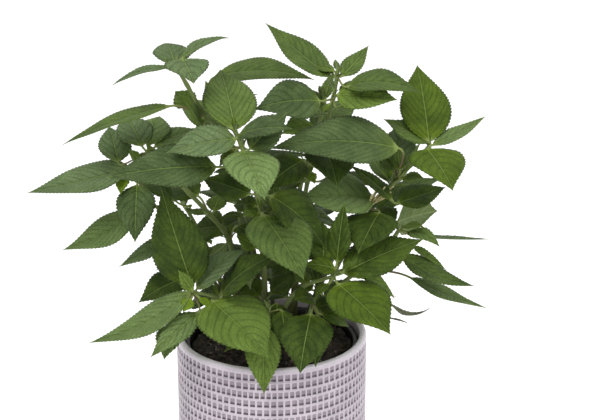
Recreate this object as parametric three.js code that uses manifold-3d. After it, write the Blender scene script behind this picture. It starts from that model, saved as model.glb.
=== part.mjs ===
// A potted pineapple sage: a glazed cover pot with a waffle relief, the thin black nursery pot that
// stands in it, the potting soil, and the leafy stems that grow out of the soil.
// Millimetres, +Z up, origin at the middle of the pot's underside, the side the photograph shows at -Y.
import * as THREE from "three";
import Module from "manifold-3d";

// Driving dimensions
const POT_HEIGHT = 140;
const POT_RADIUS = 75.8; // outside of the wall
const LIP_RADIUS = 76.3; // the rounded lip stands a little proud of the wall
const LIP_HIGH = 4;
const WALL = 6;
const FLOOR = 8;
const WAFFLE = { low: 6, high: 134, rows: 7, columns: 28, depth: 1.4, rib: 0.3 };
const NURSERY = { top: 68.8, foot: 52, wall: 1.4, high: 133, rimWide: 2, rimHigh: 5, sides: 32 };
const SOIL = { level: 127.5, bump: 1.8, gap: 0.4, rings: 5, sides: 22 };
const HOLE = { deep: 16, gap: 0.35, sides: 6 };
const STEM_SIDES = 4; // sage stems are square
const PETIOLE = { halfWidth: 0.9, thick: 1.9, short: 11 };
const BLADE = { rib: 1.3, margin: 0.7, fold: 0.13 };
const CROSS_LINES = [
  { under: 24, at: [0, 0.5] },
  { under: 45, at: [0, 0.35, 0.7] },
  { under: Infinity, at: [0, 0.25, 0.5, 0.75] },
];
const TOOTH = { pitch: 32, depth: 1.3, most: 3 }; // larger than life: the real teeth are about 3 mm apart

// The eye of the photograph. A place on the plant is given as [x, y, front]: the pixel where the
// 600 x 420 photograph shows it, and how many millimetres it lies in front of the pot's middle.
const EYE = { distance: 1200, focal: 1500, pitch: 19, centre: [300, 210], rimSeenAt: [271.6, 329.8] };

// The leafy stems that the photograph shows. Each rises from root [x, y] in the soil through its
// nodes, where the leaves stand. A leaf is [base, tip, width, roll, arch]: its blade runs from base to
// tip, its roll turns the blade about that line in degrees, its arch is its midrib's rise over its length.
const STEMS = {
  stem_top_left: {
    root: [-20, 12],
    thick: 2.4,
    nodes: [
      {
        at: [258, 292, 2],
        leaves: [
          [[252, 287, 0], [229, 277, -12], 20, -10, 0.1],
          [[253, 297, -4], [228, 304, -28], 28, -30, 0.1],
        ],
      },
      { at: [247, 216, 8], leaves: [[[243, 216, 12], [220, 218, 20], 11, -10, 0.1]] },
      { at: [236, 160, 8] },
      { at: [222, 130, 6] },
      {
        at: [206.5, 117, 4],
        leaves: [
          [[170, 106, 4], [62, 145, 12], 32, -4, 0.035],
          [[202, 127, 12], [179, 94, 24], 26, -40, 0.03],
          [[191, 107, -2], [175, 91, -14], 20, -30, 0.08],
        ],
      },
      { at: [187, 85, 2] },
      {
        at: [176, 66, 0],
        leaves: [
          [[175, 65, -4], [166, 43, -44], 30, 0, 0.06],
          [[182, 59, -2], [230, 38, -18], 18, 5, 0.125],
          [[182, 59.5, 4], [194, 84, 34], 35, 0, 0.06],
          [[169, 67.5, 2], [112, 85.5, 10], 19, -3, 0.075],
        ],
      },
    ],
  },
  stem_left: {
    root: [-30, -8],
    thick: 2.6,
    nodes: [
      { at: [236, 290, 8], leaves: [[[231, 298, 12], [208, 312, 14], 24, -30, 0.1]] },
      {
        at: [229, 240, 10],
        leaves: [
          [[223, 227, 6], [191, 232, -8], 34, -34, 0.06],
          [[226, 244, 14], [210, 256, 26], 12, 150, 0.05],
          [[238, 226, 14], [263, 250, 26], 20, 20, 0.15],
        ],
      },
      {
        at: [209, 214, 14],
        leaves: [
          [[214, 211, 12], [223, 193, -2], 18, 0, 0.1],
          [[198, 196, 4], [172, 187, -18], 26, -30, 0.08],
          [[205, 214, 10], [185, 211, 0], 9, -20, 0.05],
        ],
      },
      { at: [189, 193, 10] },
      {
        at: [147, 152, -5],
        leaves: [
          [[118, 162, -6], [109, 126, -38], 27, 0, 0.06],
          [[142, 146, -8], [124, 115, -44], 30, -8, 0.06],
          [[149, 145, -10], [160, 116, -44], 30, 0, 0.08],
          [[155, 147, -8], [203, 130, -28], 26, 10, 0.08],
          [[140, 162, 2], [128, 149, 0], 10, -30, 0.05],
          [[124, 172, 0], [120.5, 195, 16], 13, 0, 0.05],
          [[132, 168, 0], [26.6, 193, 12], 40, -18, -0.012],
        ],
      },
    ],
  },
  stem_centre: {
    root: [-6, -14],
    thick: 2.6,
    nodes: [
      {
        at: [265, 300, 22],
        leaves: [
          [[271, 293, 20], [297, 275, 14], 24, 10, 0.08],
          [[259, 296, 20], [240, 280, 10], 26, -20, 0.08],
        ],
      },
      {
        at: [263, 250, 32],
        leaves: [
          [[256, 247, 37], [236, 236, 36], 22, -30, 0.08],
          [[259, 257, 28], [250, 290, 24], 24, 0, 0.06],
          [[270, 255, 26], [293, 262, 8], 22, 30, 0.08],
        ],
      },
      {
        at: [261, 212, 38],
        leaves: [
          [[263, 215, 50], [304, 280, 98], 54, 0, 0.04],
          [[258, 215, 38], [244, 203, 30], 20, -20, 0.08],
          [[256, 206, 34], [233, 206, 22], 18, -30, 0.1],
        ],
      },
      {
        at: [257, 194, 38],
        leaves: [
          [[250, 194, 36], [201, 178, 22], 34, -20, 0.02],
          [[270, 196, 38], [325, 249, 42], 48, 20, 0.1],
        ],
      },
      {
        at: [249, 166, 40],
        leaves: [
          [[216, 167, 46], [106, 178, 60], 42, -32, 0.05],
          [[233, 170, 42], [213, 173, 40], 13, -10, 0.05],
        ],
      },
      {
        at: [242, 147, 42],
        leaves: [
          [[243, 151, 48], [265, 200, 100], 43, 0, 0.03],
          [[250, 149, 40], [288, 112, 26], 28, 40, 0.06],
          [[234, 151, 40], [219, 167, 44], 13, -20, 0.08],
          [[228, 148, 38], [204, 153, 30], 16, -30, 0.08],
        ],
      },
      {
        at: [235, 131, 42],
        leaves: [
          [[235, 130, 36], [220, 69, -36], 42, 0, 0.05],
          [[236, 139, 44], [166, 153, 52], 37, -26, 0.05],
          [[239, 135, 42], [293, 129, 52], 32, 16, 0.08],
        ],
      },
    ],
  },
  stem_top_right: {
    root: [8, 14],
    thick: 2.4,
    nodes: [
      {
        at: [293, 300, -6],
        leaves: [
          [[287, 297, -10], [258, 300, -34], 26, -10, 0.1],
          [[300, 296, -10], [318, 301, -34], 18, 10, 0.1],
        ],
      },
      {
        at: [293, 255, -10],
        leaves: [
          [[285, 257, -6], [258, 268, -4], 24, -20, 0.08],
          [[289, 262, -2], [283, 297, 6], 26, 0, 0.06],
          [[300, 254, -10], [336, 246, -22], 28, 15, 0.08],
        ],
      },
      {
        at: [295, 220, -12],
        leaves: [[[303, 214, -24], [340, 228, -36], 36, 10, 0.06]],
      },
      {
        at: [306, 165, -14],
        leaves: [
          [[303, 160, -6], [264, 191, 16], 36, -24, 0.08],
          [[303, 182, -14], [278, 187, -26], 24, -30, 0.08],
          [[307, 172, -14], [315, 184, -6], 12, 0, 0.08],
          [[311, 165, -20], [327, 179, -26], 20, 0, 0.06],
        ],
      },
      {
        at: [322, 136, -14],
        leaves: [
          [[324, 147, -6], [337, 187, 28], 42, -8, 0.06],
          [[313, 126, -6], [281, 134, 4], 26, -24, 0.08],
        ],
      },
      {
        at: [333, 99, -14],
        leaves: [
          [[337, 95, -8], [398, 100, 6], 34, 34, 0.04],
          [[320, 101, -8], [254, 110, 4], 45, -28, 0.08],
          [[337, 107, -8], [354, 107, 0], 9, 0, 0.05],
          [[327, 114, -18], [313, 118, -28], 10, 0, 0.05],
          [[333, 88, -8], [327, 78, -4], 8, 0, 0.05],
          [[329, 105, -8], [322, 113, -2], 9, 0, 0.05],
          [[340, 92, -14], [351, 80, -20], 8, 0, 0.05],
        ],
      },
      {
        at: [337, 77, -14],
        leaves: [
          [[330, 76.5, -16], [265, 22.5, -38], 34, -15, -0.02],
          [[342, 76, -18], [369, 45, -44], 17, 24, -0.04],
          [[334, 71, -14], [313, 67, -22], 12, -15, 0.05],
          [[337, 70, -10], [335, 59, -8], 8, 0, 0.05],
          [[347, 87, -8], [422, 94, -2], 38, 14, 0.12],
        ],
      },
    ],
  },
  stem_right: {
    root: [24, 8],
    thick: 2.6,
    nodes: [
      {
        at: [318, 290, -2],
        leaves: [
          [[312, 290, -4], [297, 285, -12], 16, -20, 0.05],
          [[315, 282, -8], [306, 262, -40], 20, 0, 0.1],
          [[324, 296, -6], [344, 305, -20], 26, 30, 0.1],
        ],
      },
      { at: [342, 240, -2] },
      {
        at: [367, 208, 0],
        leaves: [
          [[374, 200, 2], [298, 199, 10], 50, -22, 0.06],
          [[379, 213, 14], [358, 254, 56], 43, 0, 0.03],
        ],
      },
      {
        at: [383, 193, 1],
        leaves: [
          [[398, 203, 4], [446, 187, -10], 30, 20, 0],
          [[392, 200, 14], [349, 165, 4], 20, -10, 0.04],
          [[377, 187, -6], [361, 174, -16], 20, 0, 0.05],
        ],
      },
      {
        at: [397, 179, 2],
        leaves: [
          [[398, 148, 14], [269, 149, 22], 50, -28, 0.08],
          [[396, 163, -6], [404, 123, -46], 28, 0, 0.08],
          [[403, 178, 6], [424, 178, 14], 15, 20, 0.05],
          [[400, 170, 8], [397, 147, -8], 13, 0, 0.05],
          [[393, 171, -4], [379, 153, -16], 18, 0, 0.05],
          [[405, 172, 12], [417, 163, 18], 12, 20, 0.05],
        ],
      },
      { at: [414, 162, 2] },
      {
        at: [430, 146, 0],
        leaves: [
          [[429, 142, -4], [417, 64.5, -62], 41, 0, 0.05],
          [[433, 145, -2], [486, 116, -14], 19, 14, -0.03],
          [[427, 143, -4], [383, 119, -18], 28, -14, 0.04],
          [[427, 149, 6], [453, 191, 50], 46, 0, 0.05],
        ],
      },
    ],
  },
  stem_low_right: {
    root: [32, -10],
    thick: 2.2,
    nodes: [
      { at: [325, 300, 8], leaves: [[[331, 295, 6], [361, 284, -2], 22, 15, 0.1]] },
      {
        at: [362, 268, 10],
        leaves: [
          [[411, 278, 10], [487, 308, 20], 27, 0, -0.035],
          [[391, 304, 2], [431, 307, 8], 17, -10, -0.24],
          [[390, 318, 0], [408, 323, 4], 4, 0, 0.02],
        ],
      },
      {
        at: [385, 248, 8],
        leaves: [
          [[401, 254, 14], [475, 286, 34], 33, 4, -0.085],
          [[412, 246, 2], [446, 270, 8], 13, 10, 0.03],
        ],
      },
      {
        at: [399, 230, 4],
        leaves: [
          [[416, 236, -4], [489, 239, 2], 24, -14, -0.02],
          [[408, 232, 8], [440, 247, 24], 21, 5, 0.12],
          [[398, 221, -4], [438, 211, -20], 43, -70, 0.04],
          [[404, 226, 8], [424, 227, 18], 14, 10, 0.05],
          [[393, 225, -2], [370, 210, -16], 26, -25, 0.08],
        ],
      },
    ],
  },
  stem_front_right: {
    root: [6, -30],
    thick: 2.2,
    nodes: [
      { at: [284, 310, 38] },
      {
        at: [301, 288, 46],
        leaves: [[[306, 284, 44], [296, 269, 30], 15, 0, 0.05]],
      },
      {
        at: [334, 276, 55],
        leaves: [
          [[343, 273, 54], [424, 239, 34], 42, 22, 0.03],
          [[338, 284, 62], [391, 335, 104], 54, 4, 0.03],
          [[341, 271, 58], [356, 261, 60], 12, 0, 0.05],
          [[335, 269, 56], [304, 265, 60], 20, -28, 0.08],
          [[337, 262, 46], [345, 202, 38], 20, 10, 0.03],
          [[328, 284, 58], [315, 296, 66], 13, 0, 0.05],
          [[357, 270, 44], [395, 299, 38], 26, 20, 0.06],
          [[324, 262, 46], [320, 219, 22], 24, 0, 0.08],
        ],
      },
    ],
  },
  stem_front_left: {
    root: [-16, -30],
    thick: 2.2,
    nodes: [
      { at: [247, 314, 38] },
      {
        at: [220, 298, 46],
        leaves: [
          [[221, 294, 50], [280, 254, 52], 34, 25, 0.1],
          [[212, 301, 54], [269, 359, 98], 62, 8, 0.03],
        ],
      },
      {
        at: [193, 292, 52],
        leaves: [
          [[192, 285, 50], [161, 188, 44], 44, -75, 0.04],
          [[197, 289, 48], [248, 249, 34], 28, 15, 0.1],
          [[191, 292, 54], [88, 343, 66], 32, -20, -0.09],
          [[192, 290, 58], [178, 270, 60], 12, -75, 0.05],
          [[198, 313, 58], [150, 358, 80], 22, -30, 0.04],
          [[174, 324, 50], [164, 360, 72], 23, 0, 0.04],
          [[200, 298, 56], [212, 309, 62], 11, 0, 0.05],
          [[191, 299, 58], [183, 312, 64], 12, -20, 0.05],
        ],
      },
    ],
  },
  stem_low_left: {
    root: [-34, 8],
    thick: 2.2,
    nodes: [
      { at: [222, 296, -2], leaves: [[[216, 298, -8], [190, 305, -30], 28, -30, 0.1]] },
      { at: [200, 262, -2], leaves: [[[184, 278, 6], [138, 303, 24], 31, -20, 0.06]] },
      { at: [180, 236, -4], leaves: [[[168, 237, 0], [118.5, 267, 16], 19, -20, -0.03]] },
      {
        at: [156, 206, -8],
        leaves: [
          [[136, 213, -4], [62, 250, 12], 32, -26, -0.075],
          [[137, 185, 2], [135, 243, 34], 31, 0, 0.06],
        ],
      },
    ],
  },
  stem_low_front: {
    root: [-10, -46],
    thick: 1.8,
    nodes: [
      {
        at: [268, 312, 52],
        leaves: [
          [[262, 326, 68], [264, 395, 92], 28, 0, 0.08],
          [[277, 304, 44], [276, 334, 60], 19, -8, 0.1],
          [[256, 335, 66], [224, 352, 84], 14, -10, 0.08],
          [[282, 311, 54], [287, 349, 77], 21, 8, 0.08],
        ],
      },
    ],
  },
  stem_low_centre: {
    root: [20, -42],
    thick: 1.8,
    nodes: [
      {
        at: [312, 304, 54],
        leaves: [
          [[311, 314, 68], [300, 374, 102], 42, 0, 0.06],
          [[318, 318, 60], [315.5, 368, 90], 24, 0, 0.12],
          [[322, 314, 54], [349, 327, 50], 22, 20, 0.1],
          [[316, 308, 50], [342, 306, 38], 20, 20, 0.1],
          [[312, 298, 54], [293, 300, 64], 24, -20, 0.1],
        ],
      },
    ],
  },
};

// The stems behind, which the photograph hides. Each rises from its root to its crown, in mm, and bears
// pairs of leaves, each pair a quarter turn on from the pair below. A leaf that would point to the
// plant's middle or come forward of the nearest plane has dropped.
const BACK_STEMS = {
  stem_back_far_left: { root: [-36, 24], thick: 2.2, crown: [-92, 76, 250], lowest: 0.36 },
  stem_back_left: {
    root: [-18, 40],
    thick: 2.4,
    crown: [-47, 85, 299],
    lowest: 0.58,
    shown: [[[215, 77, -72], [315, 80, -60], 39, 16, 0.085]],
  },
  stem_back_right: { root: [18, 42], thick: 2.4, crown: [43, 98, 302], lowest: 0.48 },
  stem_back_far_right: { root: [40, 22], thick: 2.2, crown: [108, 74, 250], lowest: 0.2 },
  stem_back_low: { root: [0, 46], thick: 2, crown: [0, 116, 206], lowest: 0.35 },
};
const PAIRS = [
  { up: 0, length: 66, rise: -10 },
  { up: 0.36, length: 70, rise: 0 },
  { up: 0.68, length: 72, rise: 12 },
  { up: 0.9, length: 36, rise: 24 },
  { up: 1, length: 24, rise: 50 },
];
const NEAREST = 26; // mm behind the pot's middle

const LEAST_VOLUME = 1; // mm3
const DEG = Math.PI / 180;
const FORWARD = new THREE.Vector3(0, Math.cos(EYE.pitch * DEG), -Math.sin(EYE.pitch * DEG));
const UPWARD = new THREE.Vector3(0, Math.sin(EYE.pitch * DEG), Math.cos(EYE.pitch * DEG));

function sight(x, y) {
  return new THREE.Vector3((x - EYE.centre[0]) / EYE.focal, 0, 0)
    .addScaledVector(UPWARD, (EYE.centre[1] - y) / EYE.focal)
    .add(FORWARD);
}

const EYE_POINT = new THREE.Vector3(0, 0, POT_HEIGHT).addScaledVector(sight(...EYE.rimSeenAt), -EYE.distance);

// Where the line of sight through a pixel meets the upright plane that far in front of the middle.
function seen([x, y, front]) {
  const line = sight(x, y);
  return EYE_POINT.clone().addScaledVector(line, (-front - EYE_POINT.y) / line.y);
}

// Half the blade's width, as a share of its greatest, at u from base 0 to tip 1.
function outline(u) {
  return (u ** 0.75 * (1 - u) ** 1.35) / 0.2545;
}

// The surface of a leaf: its blade by u along and v across, its petiole by t along and v across.
function leafShape(root, base, tip, width, roll, arch) {
  const along = tip.clone().sub(base);
  const length = along.length();
  along.normalize();
  const face = new THREE.Vector3(0, 0, 1).addScaledVector(along, -along.z).normalize();
  face.applyAxisAngle(along, roll * DEG);
  const side = along.clone().cross(face);
  const lifted = (t) => base.clone().lerp(tip, t).addScaledVector(face, (4 / 3) * arch * length);
  const blade = new THREE.CubicBezierCurve3(base, lifted(1 / 3), lifted(2 / 3), tip);
  const reach = base.distanceTo(root);
  const before = base.clone().addScaledVector(blade.getTangent(0), -reach / 3);
  const petiole = new THREE.CubicBezierCurve3(root, root.clone().lerp(base, 1 / 3), before, base);
  const on = (curve, t, half, v, lift) => {
    const up = side.clone().cross(curve.getTangent(t)).normalize();
    return curve
      .getPoint(t)
      .addScaledVector(side, v * half)
      .addScaledVector(up, Math.abs(v) * (half - PETIOLE.halfWidth) * BLADE.fold + lift);
  };
  return {
    length,
    width,
    reach,
    blade: (u, half, v, lift) => on(blade, u, half, v, lift),
    petiole: (t, v, lift) => on(petiole, t, PETIOLE.halfWidth, v, lift),
  };
}

// Fills the strip between two chains of [vertex, place along the leaf] with triangles.
function fillStrip(inner, outer, flip, faces) {
  let i = 0;
  let j = 0;
  while (i < inner.length - 1 || j < outer.length - 1) {
    const innerNext = j === outer.length - 1 || (i < inner.length - 1 && inner[i + 1][1] <= outer[j + 1][1]);
    const third = innerNext ? inner[i + 1][0] : outer[j + 1][0];
    faces.push(flip ? [inner[i][0], third, outer[j][0]] : [inner[i][0], outer[j][0], third]);
    if (innerNext) i += 1;
    else j += 1;
  }
}

// A leaf as a thin closed plate: its petiole, then a blade with a toothed margin and a raised fold.
function leafMesh(root, leaf) {
  const shape = leafShape(root, ...leaf);
  const places = []; // each is a function of the side of the plate, 0.5 above and -0.5 below
  const add = (place) => places.push(place) - 1;
  const teeth = Math.min(TOOTH.most, Math.max(1, Math.round(shape.length / TOOTH.pitch)));
  const joints = shape.reach > PETIOLE.short ? [0, 0.5] : [0];
  const chain = (v) => {
    const found = joints.map((t) => [add((h) => shape.petiole(t, v, h * PETIOLE.thick)), t - 1]);
    found.push([add((h) => shape.blade(0, PETIOLE.halfWidth, v, h * PETIOLE.thick)), 0]);
    for (let k = 1; k <= 2 * teeth; k += 1) {
      const pointed = k % 2 === 0;
      const u = (k + (pointed ? 0.2 : 0)) / (2 * teeth + 1.5);
      const half = (shape.width / 2) * outline(u) + (pointed ? 0.4 : -0.6) * TOOTH.depth;
      found.push([add((h) => shape.blade(u, Math.max(PETIOLE.halfWidth, half), v, h * BLADE.margin)), u]);
    }
    return found;
  };
  const left = chain(-1);
  const right = chain(1);
  const tip = [add((h) => shape.blade(1, 0, 0, h * BLADE.margin)), 1];
  const stations = CROSS_LINES.find(({ under }) => shape.length < under).at;
  const rib = stations.map((u) => [add((h) => shape.blade(u, 0, 0, h * (u ? BLADE.rib : PETIOLE.thick))), u]);
  const faces = [];
  for (let k = 0; k < joints.length - 1; k += 1) {
    faces.push([left[k][0], right[k][0], right[k + 1][0]], [left[k][0], right[k + 1][0], left[k + 1][0]]);
  }
  const last = joints.length - 1;
  const [l1, l2, r1, r2, first] = [left[last][0], left[last + 1][0], right[last][0], right[last + 1][0], rib[0][0]];
  faces.push([l1, r1, first], [l1, first, l2], [r1, r2, first]);
  fillStrip([...rib, tip], [...left.slice(last + 1), tip], true, faces);
  fillStrip([...rib, tip], [...right.slice(last + 1), tip], false, faces);
  const triangles = faces.flatMap(([a, b, c]) => [[2 * a, 2 * b, 2 * c], [2 * a + 1, 2 * c + 1, 2 * b + 1]]);
  const loop = [...left.map(([vertex]) => vertex), tip[0], ...right.map(([vertex]) => vertex).reverse()];
  loop.forEach((a, k) => {
    const b = loop[(k + 1) % loop.length];
    triangles.push([2 * a, 2 * b, 2 * b + 1], [2 * a, 2 * b + 1, 2 * a + 1]);
  });
  return {
    points: places.flatMap((place) => [place(0.5), place(-0.5)]),
    triangles: triangles.filter(([a, b, c]) => a !== b && b !== c && a !== c),
  };
}

// A stem swept through the points, tapering from its thick root.
function stemMesh(path, thick, thin) {
  const curve = new THREE.CatmullRomCurve3(path, false, "centripetal");
  const steps = Math.round(1.35 * path.length);
  const frames = curve.computeFrenetFrames(steps, false);
  const points = [];
  for (let k = 0; k <= steps; k += 1) {
    const centre = curve.getPointAt(k / steps);
    const radius = thick + (thin - thick) * (k / steps);
    for (let s = 0; s < STEM_SIDES; s += 1) {
      const turn = (2 * Math.PI * s) / STEM_SIDES;
      const out = frames.normals[k].clone().multiplyScalar(Math.cos(turn));
      out.addScaledVector(frames.binormals[k], Math.sin(turn));
      points.push(centre.clone().addScaledVector(out, radius));
    }
  }
  const triangles = [];
  for (let k = 0; k < steps; k += 1) {
    for (let s = 0; s < STEM_SIDES; s += 1) {
      const a = k * STEM_SIDES + s;
      const b = k * STEM_SIDES + ((s + 1) % STEM_SIDES);
      triangles.push([a, b, b + STEM_SIDES], [a, b + STEM_SIDES, a + STEM_SIDES]);
    }
  }
  const last = steps * STEM_SIDES;
  for (let s = 1; s < STEM_SIDES - 1; s += 1) triangles.push([0, s + 1, s], [last, last + s, last + s + 1]);
  return { points, triangles };
}

// Solids
const wasm = await Module();
wasm.setup();

function solid({ points, triangles }) {
  const vertProperties = new Float32Array(points.flatMap((p) => [p.x, p.y, p.z]));
  const made = new wasm.Manifold(
    new wasm.Mesh({ numProp: 3, vertProperties, triVerts: new Uint32Array(triangles.flat()) }),
  );
  return made.volume() < 0 ? solid({ points, triangles: triangles.map(([a, b, c]) => [a, c, b]) }) : made;
}

function meshOf(shape, name, colour) {
  const { vertProperties, triVerts } = shape.getMesh();
  const geometry = new THREE.BufferGeometry();
  geometry.setAttribute("position", new THREE.BufferAttribute(new Float32Array(vertProperties), 3));
  geometry.setIndex(new THREE.BufferAttribute(new Uint32Array(triVerts), 1));
  const material = new THREE.MeshStandardMaterial({ color: colour, roughness: 0.6, flatShading: true });
  const mesh = new THREE.Mesh(geometry, material);
  mesh.name = name;
  return mesh;
}

// The nodes of a stem of the photograph, in mm.
function placed({ root, thick, nodes }) {
  const inPlace = nodes.map(({ at, leaves = [] }) => ({
    at: seen(at),
    leaves: leaves.map(([base, tip, ...form]) => [seen(base), seen(tip), ...form]),
  }));
  return { root, thick, nodes: inPlace };
}

// The nodes of a stem behind, with its pairs of leaves.
function paired({ root, thick, crown, lowest, shown = [] }) {
  const foot = new THREE.Vector3(root[0], root[1], SOIL.level + 4);
  const knee = new THREE.Vector3(root[0], root[1], (SOIL.level + crown[2]) / 2);
  const line = new THREE.QuadraticBezierCurve3(foot, knee, new THREE.Vector3(...crown));
  const outward = Math.atan2(crown[1], crown[0]);
  const nodes = PAIRS.map(({ up, length, rise }, k) => {
    const at = line.getPoint(lowest + (1 - lowest) * up);
    const leaves = [];
    for (const turn of k % 2 ? [-90, 90] : [0]) {
      const azimuth = outward + turn * DEG;
      const out = new THREE.Vector3(Math.cos(azimuth), Math.sin(azimuth), Math.tan(rise * DEG)).normalize();
      const base = at.clone().addScaledVector(out, 0.14 * length);
      const tip = base.clone().addScaledVector(out, length);
      if (tip.y > NEAREST) leaves.push([base, tip, length / 2, 0, 0.08]);
    }
    return { at, leaves };
  });
  for (const [base, tip, ...form] of shown) nodes.at(-1).leaves.push([seen(base), seen(tip), ...form]);
  return { root, thick, nodes };
}

function leafyStem({ root, thick, nodes }) {
  const start = new THREE.Vector3(root[0], root[1], SOIL.level - HOLE.deep + 1);
  const collar = new THREE.Vector3(root[0], root[1], SOIL.level + 4);
  let whole = solid(stemMesh([start, collar, ...nodes.map((node) => node.at)], thick, 0.6 * thick));
  for (const { at, leaves } of nodes) {
    for (const leaf of leaves) whole = whole.add(solid(leafMesh(at, leaf)));
  }
  // A pocket closed in where leaves cross is a shell of its own, with a volume of about zero or below.
  return wasm.Manifold.compose(whole.decompose().filter((shell) => shell.volume() > LEAST_VOLUME));
}

// A ring of points around the upright axis.
function ring(radius, height, sides, offset = 0) {
  const turn = (k) => (2 * Math.PI * (k + offset)) / sides;
  return Array.from(
    { length: sides },
    (_, k) => new THREE.Vector3(radius * Math.cos(turn(k)), radius * Math.sin(turn(k)), height),
  );
}

// A turned solid from a closed profile of [radius, height], run up the outside and down the inside.
function turned(profile, sides) {
  const points = profile.flatMap(([radius, height]) => {
    return radius === 0 ? [new THREE.Vector3(0, 0, height)] : ring(radius, height, sides);
  });
  const starts = [];
  let next = 0;
  for (const [radius] of profile) {
    starts.push(next);
    next += radius === 0 ? 1 : sides;
  }
  const triangles = [];
  profile.forEach(([radius], i) => {
    const j = (i + 1) % profile.length;
    for (let k = 0; k < sides; k += 1) {
      const m = (k + 1) % sides;
      const a = starts[i] + (radius ? k : 0);
      const b = starts[i] + (radius ? m : 0);
      const c = starts[j] + (profile[j][0] ? m : 0);
      const d = starts[j] + (profile[j][0] ? k : 0);
      if (a !== b) triangles.push([a, b, c]);
      if (c !== d) triangles.push([a, c, d]);
    }
  });
  return { points, triangles: triangles.filter(([a, b, c]) => a !== b && b !== c && a !== c) };
}

// The cover pot: a turned ceramic body whose wall carries rows of small square pits.
function coverPot() {
  const inner = POT_RADIUS - WALL;
  const { low, high, rows, columns, depth, rib } = WAFFLE;
  const rowHigh = (high - low) / rows;
  const points = [];
  const triangles = [];
  const add = (ringPoints) => points.push(...ringPoints) - columns;
  const band = (from, to) => {
    for (let k = 0; k < columns; k += 1) {
      const m = (k + 1) % columns;
      triangles.push([from + k, from + m, to + m], [from + k, to + m, to + k]);
    }
  };
  const foot = add(ring(POT_RADIUS - 2.5, 0, columns));
  let below = add(ring(POT_RADIUS, 2.5, columns));
  band(foot, below);
  for (let row = 0; row < rows; row += 1) {
    const height = low + row * rowHigh;
    const bottom = add(ring(POT_RADIUS, height, columns));
    const top = add(ring(POT_RADIUS, height + rowHigh * (1 - rib), columns));
    const half = (1 - rib) / 2;
    const pits = add(ring(POT_RADIUS - depth, height + rowHigh * half, columns, 0.5));
    band(below, bottom);
    for (let k = 0; k < columns; k += 1) {
      const m = (k + 1) % columns;
      const pit = pits + k;
      triangles.push(
        [bottom + k, bottom + m, pit],
        [bottom + m, top + m, pit],
        [top + m, top + k, pit],
        [top + k, bottom + k, pit],
      );
    }
    below = top;
  }
  const rim = [
    [POT_RADIUS, POT_HEIGHT - LIP_HIGH - 1],
    [LIP_RADIUS, POT_HEIGHT - LIP_HIGH],
    [LIP_RADIUS, POT_HEIGHT - 2.5],
    [LIP_RADIUS - 1.5, POT_HEIGHT - 0.6],
    [LIP_RADIUS - 3.2, POT_HEIGHT],
    [inner + 1.2, POT_HEIGHT - 0.6],
    [inner, POT_HEIGHT - 2.5],
    [inner, FLOOR + 3],
    [inner - 3, FLOOR],
  ];
  for (const [radius, height] of rim) {
    const next = add(ring(radius, height, columns));
    band(below, next);
    below = next;
  }
  const middles = points.push(new THREE.Vector3(0, 0, FLOOR), new THREE.Vector3(0, 0, 0)) - 2;
  for (let k = 0; k < columns; k += 1) {
    const m = (k + 1) % columns;
    triangles.push([below + k, below + m, middles], [foot + m, foot + k, middles + 1]);
  }
  return solid({ points, triangles });
}

// The nursery pot: thin black plastic, turned over at its rim.
function nurseryPot() {
  const { top, foot, wall, high, rimWide, rimHigh, sides } = NURSERY;
  const low = FLOOR + SOIL.gap;
  const profile = [
    [0, low],
    [foot, low],
    [top - rimWide, high - rimHigh],
    [top, high - rimHigh],
    [top, high],
    [top - rimWide - wall, high],
    [foot - wall, low + wall],
    [0, low + wall],
  ];
  return solid(turned(profile, sides));
}

// The potting soil: it fills the nursery pot, its top is lumpy, and a plain hole takes each stem.
function pottingSoil(stems) {
  const { top, foot, wall, high, rimWide } = NURSERY;
  const low = FLOOR + 2 * SOIL.gap + wall;
  const slope = (top - rimWide - foot) / (high - FLOOR);
  const wide = (height) => foot + slope * (height - FLOOR) - wall - SOIL.gap - 1;
  const lump = (x, y) => {
    return SOIL.bump * (Math.sin(0.21 * x + 1.3) * Math.cos(0.17 * y) + 0.6 * Math.sin(0.43 * x + 0.37 * y));
  };
  const points = [new THREE.Vector3(0, 0, low), ...ring(wide(low), low, SOIL.sides)];
  const triangles = [];
  for (let k = 0; k < SOIL.sides; k += 1) triangles.push([0, 1 + ((k + 1) % SOIL.sides), 1 + k]);
  let outer = 1;
  for (let r = SOIL.rings; r > 0; r -= 1) {
    const start = points.length;
    points.push(...ring((wide(SOIL.level) * r) / SOIL.rings, SOIL.level, SOIL.sides));
    for (const p of points.slice(start)) p.z += lump(p.x, p.y);
    for (let k = 0; k < SOIL.sides; k += 1) {
      const m = (k + 1) % SOIL.sides;
      triangles.push([outer + k, outer + m, start + m], [outer + k, start + m, start + k]);
    }
    outer = start;
  }
  const middle = points.push(new THREE.Vector3(0, 0, SOIL.level)) - 1;
  for (let k = 0; k < SOIL.sides; k += 1) triangles.push([outer + k, outer + ((k + 1) % SOIL.sides), middle]);
  let soil = solid({ points, triangles });
  for (const { root, thick } of stems) {
    const radius = (thick + HOLE.gap) / Math.cos(Math.PI / HOLE.sides);
    const hole = wasm.Manifold.cylinder(HOLE.deep + 20, radius, radius, HOLE.sides);
    soil = soil.subtract(hole.translate([root[0], root[1], SOIL.level - HOLE.deep]));
  }
  return soil;
}

const stems = [];
for (const [name, stem] of Object.entries(STEMS)) stems.push([name, placed(stem)]);
for (const [name, stem] of Object.entries(BACK_STEMS)) stems.push([name, paired(stem)]);

const plant = new THREE.Group();
plant.add(meshOf(coverPot(), "cover_pot", 0xcfc6cd));
plant.add(meshOf(nurseryPot(), "nursery_pot", 0x202022));
plant.add(meshOf(pottingSoil(stems.map(([, stem]) => stem)), "potting_soil", 0x3a322c));
for (const [name, stem] of stems) plant.add(meshOf(leafyStem(stem), name, 0x5f7f45));

export default plant;
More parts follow.
